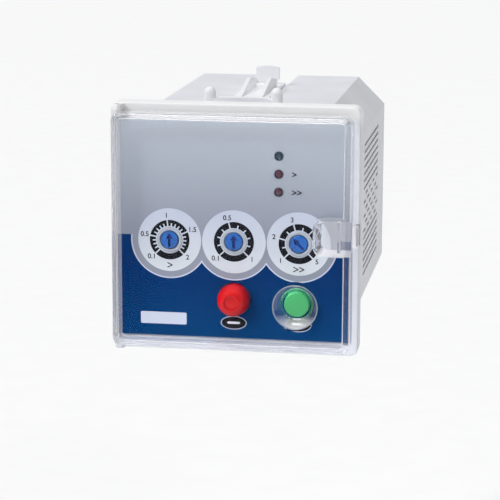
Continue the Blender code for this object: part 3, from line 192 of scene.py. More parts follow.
def pick(obj):
    deselect()
    obj.select_set(True)
    bpy.context.view_layer.objects.active = obj


def settle(name):
    """Name the active piece and put its place into its mesh."""
    obj = bpy.context.object
    obj.name = name
    obj.data.name = name
    bpy.ops.object.transform_apply(location=True, rotation=True, scale=True)
    return obj


def block(name, low, high):
    """Block between two corners, the start of a moulding."""
    deselect()
    middle = [(a + b) / 2 * MM for a, b in zip(low, high)]
    bpy.ops.mesh.primitive_cube_add(size=MM, location=middle)
    bpy.context.object.scale = [b - a for a, b in zip(low, high)]
    return settle(name)


def choose(obj, kind, test):
    """Select in edit mode the vertices or edges that pass a test of their corners in millimetres."""
    pick(obj)
    mesh = obj.data
    corners = [vertex.co / MM for vertex in mesh.vertices]
    for group in (mesh.vertices, mesh.edges, mesh.polygons):
        group.foreach_set("select", [False] * len(group))
    bpy.context.tool_settings.mesh_select_mode = (kind == "VERT", kind == "EDGE", False)
    if kind == "VERT":
        for vertex in mesh.vertices:
            vertex.select = test([corners[vertex.index]])
    else:
        for edge in mesh.edges:
            edge.select = test([corners[i] for i in edge.vertices])
    bpy.ops.object.mode_set(mode="EDIT")


def round_edges(obj, test, radius, steps):
    """Bevel the edges that pass a test."""
    choose(obj, "EDGE", test)
    bpy.ops.mesh.bevel(offset=radius * MM, segments=steps, affect="EDGES")
    bpy.ops.object.mode_set(mode="OBJECT")


def along_y(ends):
    return abs(ends[0].x - ends[1].x) < 0.01 and abs(ends[0].z - ends[1].z) < 0.01


def at_y(level):
    return lambda ends: all(abs(end.y - level) < 0.01 for end in ends)


def flare(obj, level, about, wide, high):
    """Widen the corners that lie at one depth, about a point of the face."""
    choose(obj, "VERT", at_y(level))
    bpy.ops.transform.resize(value=(wide, 1, high), center_override=(about[0] * MM, level * MM, about[1] * MM))
    bpy.ops.object.mode_set(mode="OBJECT")


def smooth(obj, angle=35):
    pick(obj)
    bpy.ops.object.shade_smooth_by_angle(angle=radians(angle))
    return obj


def plate(name, x, z, width, height, front, back, corner=0.0):
    """Flat plate facing the front, with corners rounded in its plane."""
    deselect()
    bpy.ops.mesh.primitive_plane_add(size=MM, location=(x * MM, back * MM, z * MM), rotation=(pi / 2, 0, 0))
    bpy.context.object.scale = (width, height, 1)
    obj = settle(name)
    bpy.ops.object.mode_set(mode="EDIT")
    bpy.ops.mesh.select_mode(type="VERT")
    bpy.ops.mesh.select_all(action="SELECT")
    if corner:
        bpy.ops.mesh.bevel(offset=corner * MM, segments=6, affect="VERTICES")
        bpy.ops.mesh.select_all(action="SELECT")
    bpy.ops.mesh.extrude_region_move(TRANSFORM_OT_translate={"value": (0, (front - back) * MM, 0)})
    bpy.ops.mesh.select_all(action="SELECT")
    bpy.ops.mesh.normals_make_consistent(inside=False)
    bpy.ops.object.mode_set(mode="OBJECT")
    return obj


def drum(name, x, z, radius, front, back, squeeze=1.0):
    """Round disc facing the front; squeeze flattens it in height."""
    deselect()
    bpy.ops.mesh.primitive_cylinder_add(
        vertices=96, radius=radius * MM, depth=(back - front) * MM,
        location=(x * MM, (front + back) / 2 * MM, z * MM), rotation=(pi / 2, 0, 0))
    bpy.context.object.scale = (1, squeeze, 1)
    return settle(name)


def spun(name, x, z, profile, sides=64):
    """Profile of (radius, y) points drawn by extruding a corner, then spun about the Y direction."""
    deselect()
    radius, y = profile[0]
    bpy.ops.mesh.primitive_plane_add(size=MM, location=((x + radius) * MM, y * MM, z * MM))
    settle(name)
    bpy.ops.object.mode_set(mode="EDIT")
    bpy.ops.mesh.select_mode(type="VERT")
    bpy.ops.mesh.select_all(action="SELECT")
    bpy.ops.mesh.merge(type="CENTER")
    for before, after in zip(profile, profile[1:]):
        step = ((after[0] - before[0]) * MM, (after[1] - before[1]) * MM, 0)
        bpy.ops.mesh.extrude_region_move(TRANSFORM_OT_translate={"value": step})
    bpy.ops.mesh.select_all(action="SELECT")
    bpy.ops.mesh.spin(steps=sides, angle=2 * pi, center=(x * MM, 0, z * MM), axis=(0, 1, 0))
    bpy.ops.mesh.select_all(action="SELECT")
    bpy.ops.mesh.remove_doubles(threshold=MERGE_DISTANCE * MM)
    bpy.ops.mesh.normals_make_consistent(inside=False)
    bpy.ops.object.mode_set(mode="OBJECT")
    return smooth(bpy.context.object)


def arc(centre, across, along, start, end, steps):
    """Points of an elliptic arc for a profile, from a start to an end angle in degrees."""
    turns = [radians(start + (end - start) * i / steps) for i in range(steps + 1)]
    return [(centre[0] + across * cos(t), centre[1] + along * sin(t)) for t in turns]


def cut(obj, *tools, operation="DIFFERENCE"):
    """Apply a Boolean with each tool and clear the tools away."""
    for tool in tools:
        pick(obj)
        modifier = obj.modifiers.new(operation, "BOOLEAN")
        modifier.operation = operation
        modifier.solver = "EXACT"
        modifier.object = tool
        bpy.ops.object.modifier_apply(modifier=modifier.name)
        bpy.data.objects.remove(tool)
    return obj


def weld(obj, *tools):
    return cut(obj, *tools, operation="UNION")


def join(name, objects):
    deselect()
    for obj in objects:
        obj.select_set(True)
    bpy.context.view_layer.objects.active = objects[0]
    if len(objects) > 1:
        bpy.ops.object.join()
    objects[0].name = name
    objects[0].data.name = name
    return objects[0]


def turn(obj, degrees, x, z):
    """Turn a piece clockwise as seen from the front about a point of the face."""
    place = Matrix.Translation((x * MM, 0, z * MM))
    obj.data.transform(place @ Matrix.Rotation(radians(degrees), 4, "Y") @ place.inverted())
    return obj


def softened(node, width):
    """Copy of a solid with its corners rounded, to stand for the solid."""
    obj = bpy.data.objects.new(node + "_moulding", NODES[node].data.copy())
    bpy.context.collection.objects.link(obj)
    pick(obj)
    bpy.ops.object.mode_set(mode="EDIT")
    bpy.ops.mesh.select_all(action="SELECT")
    bpy.ops.mesh.remove_doubles(threshold=MERGE_DISTANCE * MM)
    bpy.ops.mesh.dissolve_limited(angle_limit=radians(0.5))
    bpy.ops.object.mode_set(mode="OBJECT")
    modifier = obj.modifiers.new("edges", "BEVEL")
    modifier.width = width * MM
    modifier.segments = 2
    modifier.limit_method = "ANGLE"
    modifier.angle_limit = radians(30)
    bpy.ops.object.modifier_apply(modifier=modifier.name)
    smooth(obj, 40)
    modifier = obj.modifiers.new("normals", "WEIGHTED_NORMAL")
    modifier.keep_sharp = True
    bpy.ops.object.modifier_apply(modifier=modifier.name)
    return obj


def dress(obj, material, body="relay"):
    """Give a finished piece its material and the body that it rides."""
    obj.data.materials.clear()
    obj.data.materials.append(material)
    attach(obj, body)
    return obj


# Finishes


def srgb(red, green, blue):
    """Linear colour from 0 to 255 screen values."""
    def line(value):
        value /= 255
        return value / 12.92 if value <= 0.04045 else ((value + 0.055) / 1.055) ** 2.4
    return (line(red), line(green), line(blue))


def blank(name):
    """New material with its nodes, its links and its shader."""
    material = bpy.data.materials.new(name)
    material.use_nodes = True
    nodes, links = material.node_tree.nodes, material.node_tree.links
    return material, nodes, links, nodes["Principled BSDF"]


def noise(nodes, links, place, scale, detail):
    """Noise over the piece in object coordinates."""
    texture = nodes.new("ShaderNodeTexNoise")
    texture.inputs["Scale"].default_value = scale
    texture.inputs["Detail"].default_value = detail
    links.new(place.outputs["Object"], texture.inputs["Vector"])
    return texture.outputs["Fac"]


def mapped(nodes, links, source, start, end, low=0.0, high=1.0):
    """Value that runs from start to end while its source runs from low to high."""
    span = nodes.new("ShaderNodeMapRange")
    for socket, value in (("From Min", low), ("From Max", high), ("To Min", start), ("To Max", end)):
        span.inputs[socket].default_value = value
    links.new(source, span.inputs["Value"])
    return span.outputs["Result"]


def by_height(nodes, links, place, start, end, low, high):
    """Value that runs from start to end between two heights of the piece."""
    split = nodes.new("ShaderNodeSeparateXYZ")
    links.new(place.outputs["Object"], split.inputs["Vector"])
    return mapped(nodes, links, split.outputs["Z"], start, end, low, high)


# Colour sockets of the Mix node, then the scale and detail of each noise
MIX_FIRST, MIX_SECOND, MIX_RESULT = 6, 7, 2
TONE_SCALE, TONE_DETAIL = 45.0, 3.0
GRAIN_DETAIL = 4.0
HAZE_SCALE, HAZE_DETAIL = 120.0, 2.0


def finish(name, colour, rough, grain=2500.0, depth=0.00002, tone=0.04, spread=0.06, strength=0.25, metal=0.0,
           coat=0.0, gloss=0.5, fade=None):
    """Moulded or printed surface: tone drift and fine grain in bump and in roughness.

    A fade is a second colour and the two heights between which it takes over.
    """
    material, nodes, links, shader = blank(name)
    shader.inputs["Metallic"].default_value = metal
    shader.inputs["Specular IOR Level"].default_value = gloss
    shader.inputs["Coat Weight"].default_value = coat
    shader.inputs["Coat Roughness"].default_value = 0.06
    place = nodes.new("ShaderNodeTexCoord")
    ramp = nodes.new("ShaderNodeValToRGB")
    for end, share, position in zip(ramp.color_ramp.elements, (1 - tone, 1 + tone), (0.3, 0.7)):
        end.color = (*[min(1.0, part * share) for part in colour], 1)
        end.position = position
    links.new(noise(nodes, links, place, TONE_SCALE, TONE_DETAIL), ramp.inputs["Fac"])
    result = ramp.outputs["Color"]
    if fade:
        other, low, high = fade
        mix = nodes.new("ShaderNodeMix")
        mix.data_type = "RGBA"
        mix.inputs[MIX_SECOND].default_value = (*other, 1)
        links.new(by_height(nodes, links, place, 0.0, 1.0, low, high), mix.inputs["Factor"])
        links.new(result, mix.inputs[MIX_FIRST])
        result = mix.outputs[MIX_RESULT]
    links.new(result, shader.inputs["Base Color"])
    fine = noise(nodes, links, place, grain, GRAIN_DETAIL)
    links.new(mapped(nodes, links, fine, max(0.02, rough - spread), rough + spread), shader.inputs["Roughness"])
    bump = nodes.new("ShaderNodeBump")
    bump.inputs["Strength"].default_value = strength
    bump.inputs["Distance"].default_value = depth
    links.new(fine, bump.inputs["Height"])
    links.new(bump.outputs["Normal"], shader.inputs["Normal"])
    return material


def printed(name, colour, rough=0.4, tone=0.02, gloss=0.12, fade=None):
    """Ink on the face: level, with little shine."""
    return finish(name, colour, rough, tone=tone, spread=0.01, strength=0.0, gloss=gloss, fade=fade)


CLEAR_TINT = (0.985, 0.985, 0.995, 1)
SHADOW_TINT = (0.97, 0.97, 0.985, 1)
CLEAR_COAT_IOR = 1.9
CLEAR_COAT_ROUGH = 0.04
GLARE_FULL = -0.0345
GLARE_GONE = -0.0305


def clear_finish(name, rough, ior, scatter_and_painted_glow=0.0, coat=0.0, painted_glare_share=None):
    """Clear moulding that bends light and lets lamps through.

    The first share is the light that it scatters: a little real haze and, where it is large, a painted glow for
    light caught in the plastic. The low share is the scattered share at the low side of the funnel, a painted glare.
    """
    material, nodes, links, shader = blank(name)
    shader.inputs["Base Color"].default_value = CLEAR_TINT
    shader.inputs["IOR"].default_value = ior
    shader.inputs["Coat Weight"].default_value = coat
    shader.inputs["Coat IOR"].default_value = CLEAR_COAT_IOR
    shader.inputs["Coat Roughness"].default_value = CLEAR_COAT_ROUGH
    shader.inputs["Transmission Weight"].default_value = 1.0 - scatter_and_painted_glow
    place = nodes.new("ShaderNodeTexCoord")
    # Painted glare: the funnel scatters more, and so turns whiter, towards its low side, as though lit there.
    if painted_glare_share is not None:
        links.new(by_height(nodes, links, place, 1.0 - painted_glare_share, 1.0 - scatter_and_painted_glow, GLARE_FULL, GLARE_GONE),
                  shader.inputs["Transmission Weight"])
    haze = noise(nodes, links, place, HAZE_SCALE, HAZE_DETAIL)
    links.new(mapped(nodes, links, haze, rough * 0.5, rough * 1.5), shader.inputs["Roughness"])
    path = nodes.new("ShaderNodeLightPath")
    open_way = nodes.new("ShaderNodeBsdfTransparent")
    open_way.inputs["Color"].default_value = SHADOW_TINT
    mix = nodes.new("ShaderNodeMixShader")
    links.new(path.outputs["Is Shadow Ray"], mix.inputs["Fac"])
    links.new(shader.outputs["BSDF"], mix.inputs[1])
    links.new(open_way.outputs["BSDF"], mix.inputs[2])
    links.new(mix.outputs["Shader"], nodes["Material Output"].inputs["Surface"])
    return material


white = finish("white_moulding", srgb(246, 247, 250), 0.38, strength=0.3)
# Bezel: the white moulding darkened as painted shade, with a painted highlight band that brightens towards its top.
bezel_painted_light_and_shade = finish("bezel_moulding_painted_light_and_shade", srgb(214, 217, 224), 0.38, strength=0.2,
                     fade=(srgb(253, 253, 254), 0.040, 0.046))
# Case and rear panel: the white moulding darkened as painted shade.
case_painted_shade = finish("case_moulding_painted_shade", srgb(226, 228, 233), 0.5, grain=1800.0, strength=0.5)
# Face grey: lighter towards the top, painted light over the grey ink.
sheet_grey = printed("face_grey_print_and_painted_light", srgb(144, 150, 164), fade=(srgb(185, 193, 202), 0.0, 0.045))
# Blue field: darker towards the top, painted shade over the blue ink.
field_blue = printed("face_blue_print_and_painted_shade", srgb(3, 62, 116), 0.38, tone=0.05, gloss=0.0,
                     fade=(srgb(5, 49, 105), -0.042, -0.015))
line_pale = printed("face_line_print", srgb(204, 212, 228))
# Dial discs and ticks: darker and bluer towards the top, painted shade over the pale ink.
disc_pale = printed("dial_disc_print_and_painted_shade", srgb(211, 217, 223), fade=(srgb(192, 200, 216), -0.016, 0.006))
ring_black = printed("dial_ring_print", srgb(16, 18, 28), 0.42, tone=0.05)
tick_white = printed("dial_tick_print", srgb(228, 232, 238))
knob_blue = finish("knob_blue_moulding", srgb(18, 92, 172), 0.3, tone=0.1, strength=0.12)
slot_blue = finish("knob_slot_shade", srgb(10, 50, 138), 0.5, tone=0.1, strength=0.2)
collar_grey = finish("collar_grey_moulding", srgb(168, 175, 187), 0.35, strength=0.1)
button_red = finish("button_red_moulding", srgb(204, 6, 14), 0.09, spread=0.02, tone=0.03, strength=0.02, gloss=0.3)
button_green = finish("button_green_moulding", srgb(74, 190, 116), 0.3, tone=0.03, strength=0.08)
lamp_green = finish("lamp_green_tint", srgb(32, 60, 72), 0.1, tone=0.12, strength=0.03, coat=0.4)
lamp_red = finish("lamp_red_tint", srgb(84, 44, 62), 0.1, tone=0.12, strength=0.03, coat=0.4)
lamp_edge = finish("lamp_edge_print", srgb(72, 78, 92), 0.4, tone=0.05, strength=0.02)
board_green = finish("circuit_board_mask", srgb(20, 92, 52), 0.35, tone=0.12)
black = finish("black_moulding", srgb(30, 30, 33), 0.45)
zinc = finish("zinc_plating", srgb(196, 198, 200), 0.32, metal=1.0)
steel = finish("bright_steel", srgb(186, 187, 189), 0.28, metal=1.0)
iron = finish("stacked_lamination", srgb(92, 92, 96), 0.5, grain=900.0, metal=0.7)
tape = finish("winding_tape", srgb(196, 160, 40), 0.4)
sleeve = finish("capacitor_sleeve", srgb(30, 48, 84), 0.3)
relay_blue = finish("relay_case_blue", srgb(36, 72, 140), 0.35)
clear = clear_finish("clear_cover_moulding", 0.01, 1.22, scatter_and_painted_glow=0.05)
clear_window = clear_finish("clear_cover_window", 0.01, 1.12)
# Painted glow: the left and low walls and the rims scatter much of the light, so they look bright as though lit.
clear_wall = clear_finish("clear_cover_wall", 0.05, 1.3, scatter_and_painted_glow=0.36, coat=0.6)
clear_latch = clear_finish("clear_cover_latch", 0.04, 1.4, scatter_and_painted_glow=0.09, coat=0.8)
# Painted glare: the funnel turns whiter towards its low side.
clear_funnel = clear_finish("clear_cover_funnel", 0.03, 1.2, scatter_and_painted_glow=0.02, coat=0.6, painted_glare_share=0.6)
# Painted highlight: the shelves at the latch scatter most of the light, so they look white as though strongly lit.
clear_shelf = clear_finish("clear_cover_shelf", 0.05, 1.3, scatter_and_painted_glow=0.6, coat=0.8)


def cad_finishes():
    """Each carried-over solid takes its finish."""
    plain = {
        "front_bezel": bezel_painted_light_and_shade, "body_case": case_painted_shade, "upper_clip": white, "lower_clip": white,
        "rear_panel": case_painted_shade, "face_sheet": sheet_grey, "clear_cover": clear, "test_button": button_red,
        "reset_button": button_green, "status_lamp_1": lamp_green, "status_lamp_2": lamp_red,
        "status_lamp_3": lamp_red, "front_board": board_green, "main_board": board_green,
        "rear_board": board_green, "board_link": black, "control_chip": black, "test_switch": black,
        "reset_switch": black,
    }
    starts = (("setting_knob", knob_blue), ("trimmer_body", collar_grey), ("terminal_block", black),
              ("terminal_", zinc), ("front_board_screw", steel), ("rear_panel_screw", steel),
              ("output_relay", relay_blue), ("capacitor", sleeve))
    ends = (("_spring", steel), ("_core", iron), ("_winding", tape))
    for name, obj in NODES.items():
        material = plain.get(name)
        material = material or next((m for start, m in starts if name.startswith(start)), None)
        material = material or next((m for end, m in ends if name.endswith(end)), None)
        if material is None:
            raise ValueError("no finish for " + name)
        for slot in obj.material_slots:
            slot.material = material


def soft_mouldings():
    """White mouldings with the small edge radii that catch the light."""
    for node, width, body, material in (
            ("front_bezel", 0.3, "relay", bezel_painted_light_and_shade), ("body_case", 0.3, "relay", case_painted_shade),
            ("rear_panel", 0.3, "relay", case_painted_shade), ("upper_clip", 0.35, "upper_clip", white),
            ("lower_clip", 0.35, "lower_clip", white)):
        piece = dress(softened(node, width), material, body)
        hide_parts(node)


# Clear cover

COVER_FINISHES = (clear, clear_window, clear_wall, clear_latch, clear_funnel, clear_shelf)
PLAIN, WINDOW, WALL, LATCH, FUNNEL, SHELF = range(len(COVER_FINISHES))


def cover_shell():
    """Box open at the back, with rounded walls and a chamfer at the hinge side."""
    shell = block("cover_moulding", (-COVER_HALF_X, COVER_FRONT, -COVER_HALF_Z),
                  (COVER_HALF_X, COVER_BACK, COVER_HALF_Z))
    round_edges(shell, along_y, COVER_CORNER, 8)
    round_edges(shell, at_y(COVER_FRONT), COVER_RIM, 4)
    round_edges(shell, lambda ends: all(end.x < NEAR - COVER_HALF_X and end.y > COVER_BACK - 0.01 for end in ends),
                HINGE_CHAMFER, 1)
    room = block("room", (ROOM_LEFT, COVER_INSIDE, -ROOM_HALF_Z), (ROOM_RIGHT, COVER_BACK + 1, ROOM_HALF_Z))
    round_edges(room, along_y, ROOM_CORNER, 6)
    round_edges(room, at_y(COVER_INSIDE), ROOM_RIM, 3)
    return cut(shell, room)


def funnel_outside():
    """Trumpet that the reset button passes through."""
    front = COVER_INSIDE - 0.5
    curve = arc((FUNNEL_RADIUS, FUNNEL_END), 3.5, 3.4, 255, 180, 6)
    profile = [(0, front), (FUNNEL_RADIUS, front)] + curve + [(0, FUNNEL_END)]
    return spun("trumpet", RESET_X, BUTTON_Z, profile)


def funnel_mouth():
    """Tool that cuts the opening of the funnel, with its curved wall."""
    ahead, behind = COVER_FRONT - 0.6, FUNNEL_END + 0.6
    rim = [(0, ahead), (8.9, ahead), (8.7, -18.95), (8.25, -18.4)]
    curve = arc((MOUTH_RADIUS, FUNNEL_END + 0.1), 4.5, 5.2, 242, 180, 8)
    return spun("mouth", RESET_X, BUTTON_Z, rim + curve + [(THROAT_RADIUS, behind), (0, behind)])


def finger_block(name, corners, radius, wide, high):
    """Block of the finger recess: rounded at its left corners and flared towards the front."""
    low, top = corners
    piece = block(name, low, top)
    round_edges(piece, lambda ends: along_y(ends) and ends[0].x < low[0] + 0.4, radius, 8)
    flare(piece, low[1], (top[0], LATCH_Z), wide, high)
    return piece


def latch_tongue():
    tongue = block("tongue", *TONGUE)
    round_edges(tongue, lambda ends: all(end.x > TONGUE[1][0] - NEAR for end in ends), 0.25, 2)
    return tongue


def latch_hook():
    hook = block("hook", *HOOK)
    round_edges(hook, at_y(HOOK[1][1]), 0.2, 2)
    return hook


def latch_rib():
    rib = block("rib", *RIB)
    round_edges(rib, lambda ends: all(end.y < RIB[0][1] + NEAR for end in ends), 0.3, 2)
    return rib


def hinge_pin(side):
    """Pin with a rounded end, above or below the cover."""
    deselect()
    bpy.ops.mesh.primitive_cylinder_add(vertices=32, radius=PIN_RADIUS * MM, depth=PIN_LENGTH * MM,
                                        location=(HINGE_X * MM, HINGE_Y * MM, side * PIN_Z * MM))
    pin = settle("pin")
    round_edges(pin, lambda ends: all(abs(end.z) > PIN_Z + PIN_LENGTH / 2 - NEAR for end in ends), 0.2, 2)
    return pin


def cover_zone(at, normal):
    """Finish of a face of the cover, from its middle in millimetres and its normal.

    The top wall is as clear as the latch; the left and low walls and the rims are cloudy, a painted glow for the
    light that they catch.
    """
    from_axis = hypot(at.x - RESET_X, at.z - BUTTON_Z)
    pane = abs(normal.y) > 0.95 and (at.y < COVER_FRONT + NEAR or abs(at.y - COVER_INSIDE) < NEAR)
    funnel_back = FUNNEL_END + 0.7
    if from_axis < MOUTH_REACH and not pane:
        if at.y < COVER_FRONT + COVER_RIM:
            return WALL
        inward = normal.x * (at.x - RESET_X) + normal.z * (at.z - BUTTON_Z) < 0
        if inward and at.y < funnel_back:
            return FUNNEL
    outside_of_funnel = from_axis < FUNNEL_REACH and COVER_FRONT + 1.0 < at.y < funnel_back
    if pane or outside_of_funnel:
        return WINDOW
    if at.x > LATCH_LEFT and LATCH_LOW < at.z < LATCH_HIGH:
        return SHELF if abs(normal.z) > 0.6 else LATCH
    if at.z > ROOM_HALF_Z - NEAR:
        return LATCH
    outer_rim = at.y < COVER_FRONT + COVER_RIM + NEAR
    inner_rim = at.y < COVER_INSIDE + ROOM_RIM + 0.05 and at.x < ROOM_RIGHT + NEAR
    left_or_low = at.x < ROOM_LEFT + NEAR or at.z < NEAR - ROOM_HALF_Z
    return WALL if left_or_low or outer_rim or inner_rim else PLAIN


def cover():
    """Clear moulding with the funnel over the reset button, the finger recess, the latch and the hinge pins."""
    shell = cover_shell()
    trumpet, mouth = funnel_outside(), funnel_mouth()
    recess = finger_block("recess", RECESS, 3.4, 1.11, 1.1)
    pocket = finger_block("pocket", POCKET, 2.4, 1.13, 1.25)
    weld(shell, trumpet, recess, latch_tongue(), latch_hook(), hinge_pin(-1), hinge_pin(1))
    cut(shell, mouth, pocket)
    weld(shell, latch_rib())
    smooth(shell, 32)
    dress(shell, clear, "cover")
    for material in COVER_FINISHES[1:]:
        shell.data.materials.append(material)
    for face in shell.data.polygons:
        face.material_index = cover_zone(face.center / MM, face.normal)
    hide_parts("clear_cover")


# Knobs, lamps and buttons


def arrow_slot(x, pointer):
    """Tool that cuts the driver slot: a shaft and a three-sided head, turned as the knob points."""
    ahead, bottom = ROTOR_FRONT - 1, ROTOR_FRONT + SLOT_DEPTH
    shaft = plate("shaft", x, DIAL_Z - 0.85, 1.0, 3.7, ahead, bottom)
    deselect()
    bpy.ops.mesh.primitive_cylinder_add(
        vertices=3, radius=1.75 * MM, depth=(bottom - ahead) * MM, rotation=(pi / 2, 0, 0),
        location=(x * MM, (ahead + bottom) / 2 * MM, (DIAL_Z + 1.3) * MM))
    bpy.context.object.scale = (0.95, 0.85, 1)
    return turn(weld(shaft, settle("head")), pointer, x, DIAL_Z)


def knob(index, pointer):
    """Blue rotor with an arrow-shaped driver slot, shaded at its bottom."""
    x, edge = DIAL_XS[index], 0.45
    profile = [(0, ROTOR_FRONT - 0.05)] + arc((ROTOR_RADIUS - edge, ROTOR_FRONT + edge), edge, edge, 270, 360, 5)
    profile += [(ROTOR_RADIUS, ROTOR_BACK), (SPINDLE_RADIUS, ROTOR_BACK), (SPINDLE_RADIUS, SPINDLE_END),
                (0, SPINDLE_END)]
    rotor = spun("knob_%d_rotor" % (index + 1), x, DIAL_Z, profile)
    cut(rotor, arrow_slot(x, pointer))
    smooth(rotor)
    dress(rotor, knob_blue, "knob_%d" % (index + 1))
    rotor.data.materials.append(slot_blue)
    for face in rotor.data.polygons:
        middle = face.center / MM
        deep = ROTOR_FRONT + 0.3 < middle.y < ROTOR_FRONT + SLOT_DEPTH + 0.1
        central = hypot(middle.x - x, middle.z - DIAL_Z) < ROTOR_RADIUS - 0.2
        face.material_index = 1 if deep and central else 0
    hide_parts("setting_knob_%d" % (index + 1))


def collar(index):
    """Ring with rounded edges that stands out from the face round a rotor."""
    back = SHEET_FRONT - 0.04
    ring = [(COLLAR_INNER, back), (COLLAR_INNER, -9.1)] + arc((4.0, -9.1), 0.25, 0.15, 180, 270, 3)
    ring += arc((COLLAR_OUTER - 0.25, -9.0), 0.25, 0.25, 270, 360, 4) + [(COLLAR_OUTER, back), (COLLAR_INNER, back)]
    dress(spun("knob_%d_collar" % (index + 1), DIAL_XS[index], DIAL_Z, ring), collar_grey)


def lamp(index, material):
    """Domed lens on its rim, with two legs behind and a dark edge printed round it."""
    z = LAMP_ZS[index]
    profile = arc((0, -8.0), LENS_RADIUS, 1.4, 270, 360, 8)
    profile += [(LENS_RADIUS, WALL_BACK), (LENS_FLANGE, WALL_BACK), (LENS_FLANGE, LENS_BACK), (0, LENS_BACK)]
    lens = spun("lamp_%d_lens" % (index + 1), LAMP_X, z, profile, 40)
    legs = []
    for side in (-1, 1):
        x = LAMP_X + side * LEG_OFFSET
        legs.append(block("leg", (x - LEG_HALF, LENS_BACK - 0.2, z - LEG_HALF),
                          (x + LEG_HALF, BOARD_FRONT, z + LEG_HALF)))
    dress(smooth(weld(lens, *legs)), material)
    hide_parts("status_lamp_%d" % (index + 1))
    edge = drum("lamp_%d_edge" % (index + 1), LAMP_X, z, 1.85, SHEET_FRONT - LAMP_EDGE_PROUD, SHEET_FRONT + SUNK)
    dress(cut(edge, drum("bore", LAMP_X, z, 1.55, SHEET_FRONT - 1, SHEET_FRONT + 1)), lamp_edge)


def button_back(radius):
    """Side, flange and stem of a push button, behind its cap."""
    flange = radius + CAP_FLANGE
    return [(radius, WALL_BACK), (flange, WALL_BACK), (flange, CAP_BACK), (STEM_RADIUS, CAP_BACK),
            (STEM_RADIUS, STEM_END), (0, STEM_END)]


def test_cap():
    """Red domed button with a dished face in a raised ring."""
    dish = [(0, -15.6), (1.5, -15.55), (2.1, -15.4)]
    rim = arc((3.0, -15.6), 0.6, 0.6, 165, 300, 8)
    crown = arc((TEST_CAP_RADIUS / 2, -10.3), TEST_CAP_RADIUS / 2, 5.75, 285, 360, 14)
    red = spun("test_button_cap", TEST_X, BUTTON_Z, dish + rim + crown + button_back(TEST_CAP_RADIUS), 96)
    dress(red, button_red, "test_button")
    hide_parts("test_button")


def reset_cap():
    """Green flat button with a rounded edge."""
    edge = arc((4.15, -14.0), 0.7, 0.7, 270, 360, 6)
    profile = [(0, -14.7)] + edge + button_back(RESET_CAP_RADIUS)
    green = spun("reset_button_cap", RESET_X, BUTTON_Z, profile, 96)
    dress(green, button_green, "reset_button")
    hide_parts("reset_button")


# Printed face


def hole(x, z, radius):
    """Tool for a round hole through the print."""
    return drum("round", x, z, radius, SHEET_FRONT - 1, SHEET_FRONT + 1)


def face_fields():
    """Blue lower field with a pale line where it runs round the three dials."""
    height, middle = FIELD_TOP - SHEET_BOTTOM, (FIELD_TOP + SHEET_BOTTOM) / 2
    for name, radius, proud, material in (("face_line", LINE_RADIUS, LINE_PROUD, line_pale),
                                          ("face_blue_field", FIELD_RADIUS, FIELD_PROUD, field_blue)):
        field = plate(name, 0, middle, 2 * SHEET_HALF_X, height, SHEET_FRONT - proud, SHEET_FRONT + SUNK)
        cut(field, *[hole(x, DIAL_Z, radius) for x in DIAL_XS])
        cut(field, hole(TEST_X, BUTTON_Z, TEST_HOLE_RADIUS), hole(RESET_X, BUTTON_Z, RESET_HOLE_RADIUS))
        dress(field, material)


def figures(text, x, z):
    """Plain upright figures on the face."""
    deselect()
    bpy.ops.object.text_add(location=(0, 0, 0))
    obj = bpy.context.object
    obj.data.body = text
    obj.data.size = NUMBER_SIZE * MM
    obj.data.align_x = "CENTER"
    obj.data.align_y = "CENTER"
    obj.data.extrude = 0.04 * MM
    obj.data.offset = 0.045 * MM
    bpy.ops.object.convert(target="MESH")
    obj = bpy.context.object
    obj.rotation_euler = (pi / 2, 0, 0)
    obj.location = (x * MM, (SHEET_FRONT - DISC_PROUD) * MM, z * MM)
    return settle("figures")


def dial(index, steps, numbers):
    """One printed dial: pale disc, black ring with pale teeth, longer where a plain number stands."""
    x, front = DIAL_XS[index], SHEET_FRONT
    disc = drum("dial_%d_disc" % (index + 1), x, DIAL_Z, DISC_RADIUS, front - DISC_PROUD, front + SUNK)
    dress(cut(disc, hole(x, DIAL_Z, DISC_HOLE_RADIUS)), disc_pale)
    ring = drum("dial_%d_ring" % (index + 1), x, DIAL_Z, RING_RADIUS, front - RING_PROUD, front + SUNK)
    dress(cut(ring, hole(x, DIAL_Z, RING_HOLE_RADIUS)), ring_black)
    turns = [SWEEP_DEG * (step / steps - 0.5) for step in range(steps + 1)]
    ticks = []
    for step, degrees in enumerate(turns):
        end = LONG_TICK_END if step in numbers else SHORT_TICK_END
        tick = plate("tick", x, DIAL_Z + (TICK_START + end) / 2, TICK_WIDTH, end - TICK_START, front - TICK_PROUD,
                     front - DISC_PROUD)
        ticks.append(turn(tick, degrees, x, DIAL_Z))
    dress(join("dial_%d_ticks" % (index + 1), ticks), disc_pale)
    marks = []
    for step, text in numbers.items():
        angle = radians(turns[step])
        marks.append(figures(text, x + NUMBER_REACH_X * sin(angle), DIAL_Z + NUMBER_REACH_Z * cos(angle)))
    dress(join("dial_%d_numbers" % (index + 1), marks), ring_black)


def chevrons(name, x, z, count, size):
    """Row of plain arrow heads pointing right."""
    bars = []
    for i in range(count):
        tip = x + (i - (count - 1) / 2) * size * 1.05 + size * 0.45
        for side in (-1, 1):
            bar = plate("bar", tip - size * 0.45, z, size, size * 0.17, SHEET_FRONT - TICK_PROUD, SHEET_FRONT - 0.08)
            bars.append(turn(bar, side * 26, tip, z))
    dress(join(name, bars), ring_black)


def button_mark(number, x):
    """Black oval with a pale rim and a plain bar, below a button."""
    front = SHEET_FRONT
    rim = drum("button_mark_rim_%d" % number, x, OVAL_Z, OVAL_RIM_RADIUS, front - DISC_PROUD, front + SUNK,
               squeeze=0.53)
    dress(rim, line_pale)
    mark = drum("button_mark_%d" % number, x, OVAL_Z, OVAL_RADIUS, front - MARK_PROUD, front + SUNK, squeeze=0.5)
    dress(mark, ring_black)
    bar = plate("button_bar_%d" % number, x, OVAL_Z, 5.0, 0.9, front - BAR_PROUD, front - 0.08, 0.4)
    dress(bar, tick_white)


